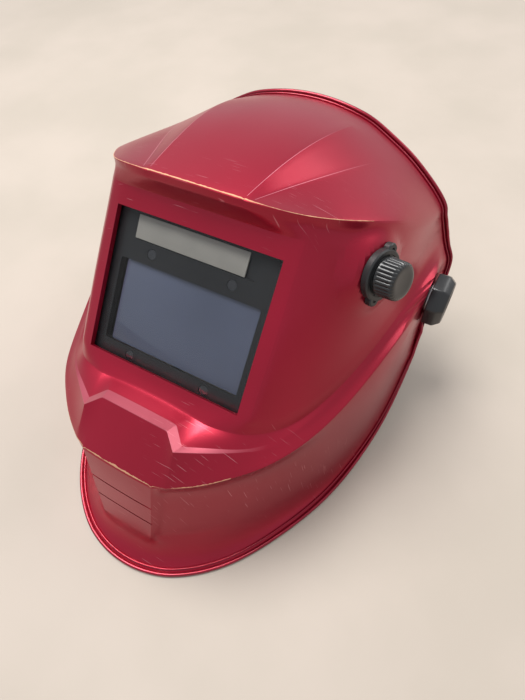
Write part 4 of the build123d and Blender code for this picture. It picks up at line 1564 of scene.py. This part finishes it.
class Studio:
    """The floor, the soft light and the camera."""

    LAMPS = (
        Lamp("key_softbox", (-0.62, 0.2, 1.85), 1.1, 46.0),
        Lamp("fill_softbox", (1.0, 1.35, 1.45), 1.6, 16.0),
    )
    EYE = (0.1437, -0.1826, 0.3523)
    LOOK = (-0.3329, 0.4701, -0.8174)
    UP = (-0.3684, 0.7331, 0.5716)
    LENS = 24.6                 # focal length for a 36 mm wide sensor
    FLOOR_SIZE = 8
    STONE, STONE_DARK = (0.455, 0.39, 0.335), (0.41, 0.355, 0.30)
    SKY, SKY_STRENGTH = (0.92, 0.96, 1.0, 1.0), 0.66

    def floor(self) -> bpy.types.Object:
        """A wide plain floor in a pale warm stone finish.

        Returns:
            The floor, which belongs to the stage and not to the helmet.
        """
        bpy.ops.object.select_all(action="DESELECT")
        bpy.ops.mesh.primitive_plane_add(size=self.FLOOR_SIZE)
        floor = named("floor")
        stone = bpy.data.materials.new("floor_pale")
        stone.use_nodes = True
        tree = stone.node_tree
        shader = tree.nodes["Principled BSDF"]
        spot = tree.nodes.new("ShaderNodeTexCoord")
        cloud = noise(tree, 6.0, 5.0, spot.outputs["Object"])
        drift = ramp(tree, 0.3, 0.7, cloud.outputs["Fac"])
        colour = mix_of(tree, drift.outputs["Result"], self.STONE, self.STONE_DARK)
        tree.links.new(colour, shader.inputs["Base Color"])
        shader.inputs["Roughness"].default_value = 0.6
        floor.data.materials.append(stone)
        return floor

    def light(self) -> None:
        """An even pale surround and two soft lamps."""
        world = bpy.data.worlds.new("surround")
        bpy.context.scene.world = world
        world.use_nodes = True
        back = world.node_tree.nodes["Background"]
        back.inputs["Color"].default_value = self.SKY
        back.inputs["Strength"].default_value = self.SKY_STRENGTH
        aim = Vector((0, 0, 0.08))
        for lamp in self.LAMPS:
            lamp.build(aim)

    def camera(self) -> bpy.types.Object:
        """A hand-held camera above the front, tipped down at the helmet.

        Returns:
            The scene's camera.
        """
        data = bpy.data.cameras.new("camera")
        data.lens = self.LENS
        data.sensor_width = 36.0
        data.clip_start = 0.01
        camera = bpy.data.objects.new("camera", data)
        look, up = Vector(self.LOOK).normalized(), Vector(self.UP)
        right = look.cross(up).normalized()
        up = right.cross(look)
        turn = Matrix((right, up, -look)).transposed().to_4x4()
        camera.matrix_world = Matrix.Translation(self.EYE) @ turn
        bpy.context.scene.collection.objects.link(camera)
        bpy.context.scene.camera = camera
        return camera

    def build(self) -> None:
        """Build the floor, the light and the camera."""
        self.floor()
        self.light()
        self.camera()
        bpy.context.scene.view_settings.view_transform = "Standard"


# ---- helmet ------------------------------------------------------------
class Helmet:
    """Every piece of the helmet, each riding on its body."""

    def __init__(self, ground: Ground, palette: Palette) -> None:
        """Keep the ground and the palette and note which nodes are replaced.

        Args:
            ground: Turns millimetres into places.
            palette: The materials of the slots.
        """
        self.ground = ground
        self.palette = palette
        self.replaced: set[str] = set()

    def fit(self, piece: bpy.types.Object, body: str, slot: Slot, *nodes: str, finish: str = "") -> None:
        """Dress a piece, put it on its body and let it stand for its nodes.

        Args:
            piece: The finished piece.
            body: The body that it rides on.
            slot: Its material slot.
            nodes: The nodes that it stands for.
            finish: Name of its finish, where that is not the slot's own.
        """
        self.palette.dress(piece, finish or slot.value)
        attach(piece, body)
        if nodes:
            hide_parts(*nodes)
            self.replaced.update(nodes)

    def shell(self) -> None:
        """The shell and its rim beads."""
        skin, *beads = Shell(self.ground).build()
        self.fit(skin, "helmet", Slot.PAINT, "shell")
        for bead in beads:
            self.fit(bead, "helmet", Slot.PAINT, finish=RIM_FINISH.name)

    def controls(self) -> None:
        """The side knobs and the shade control."""
        for side, word in ((1, "left"), (-1, "right")):
            knob = TensionKnob(self.ground, side).build()
            self.fit(knob, f"tension_knob_{word}_body", Slot.KNOB, f"tension_knob_{word}")
        control = ShadeControl(self.ground)
        self.fit(control.plate(), "helmet", Slot.PLASTIC, "shade_base_plate")
        self.fit(control.knob(), "shade_knob_body", Slot.KNOB, "shade_knob")

    def window(self) -> None:
        """The lens and the face of the filter."""
        for piece, node, slot in Window(self.ground).build():
            self.fit(piece, "helmet", slot, node)

    def pads(self) -> None:
        """The sweatband and the rear pad."""
        for node in ("sweatband", "rear_pad"):
            pad = SoftPad(node, node + "_foam").build()
            self.fit(pad, "headgear", Slot.CLOTH, node)

    def carried_over(self) -> None:
        """Dress the CAD nodes that still show, by the record's slots."""
        for part in frame["record"]["subparts"]:
            if part["node"] not in self.replaced:
                self.palette.dress(frame["nodes"][part["node"]], part["material_slot"])

    def build(self) -> None:
        """Build every part in order."""
        for part in (self.shell, self.controls, self.window, self.pads, self.carried_over):
            part()
            LOG.info("built %s", part.__name__)


def main() -> None:
    """Build the helmet, then the studio round it."""
    logging.basicConfig(level=logging.INFO)
    Helmet(Ground(), Palette.build()).build()
    Studio().build()


if __name__ == "__main__":
    main()
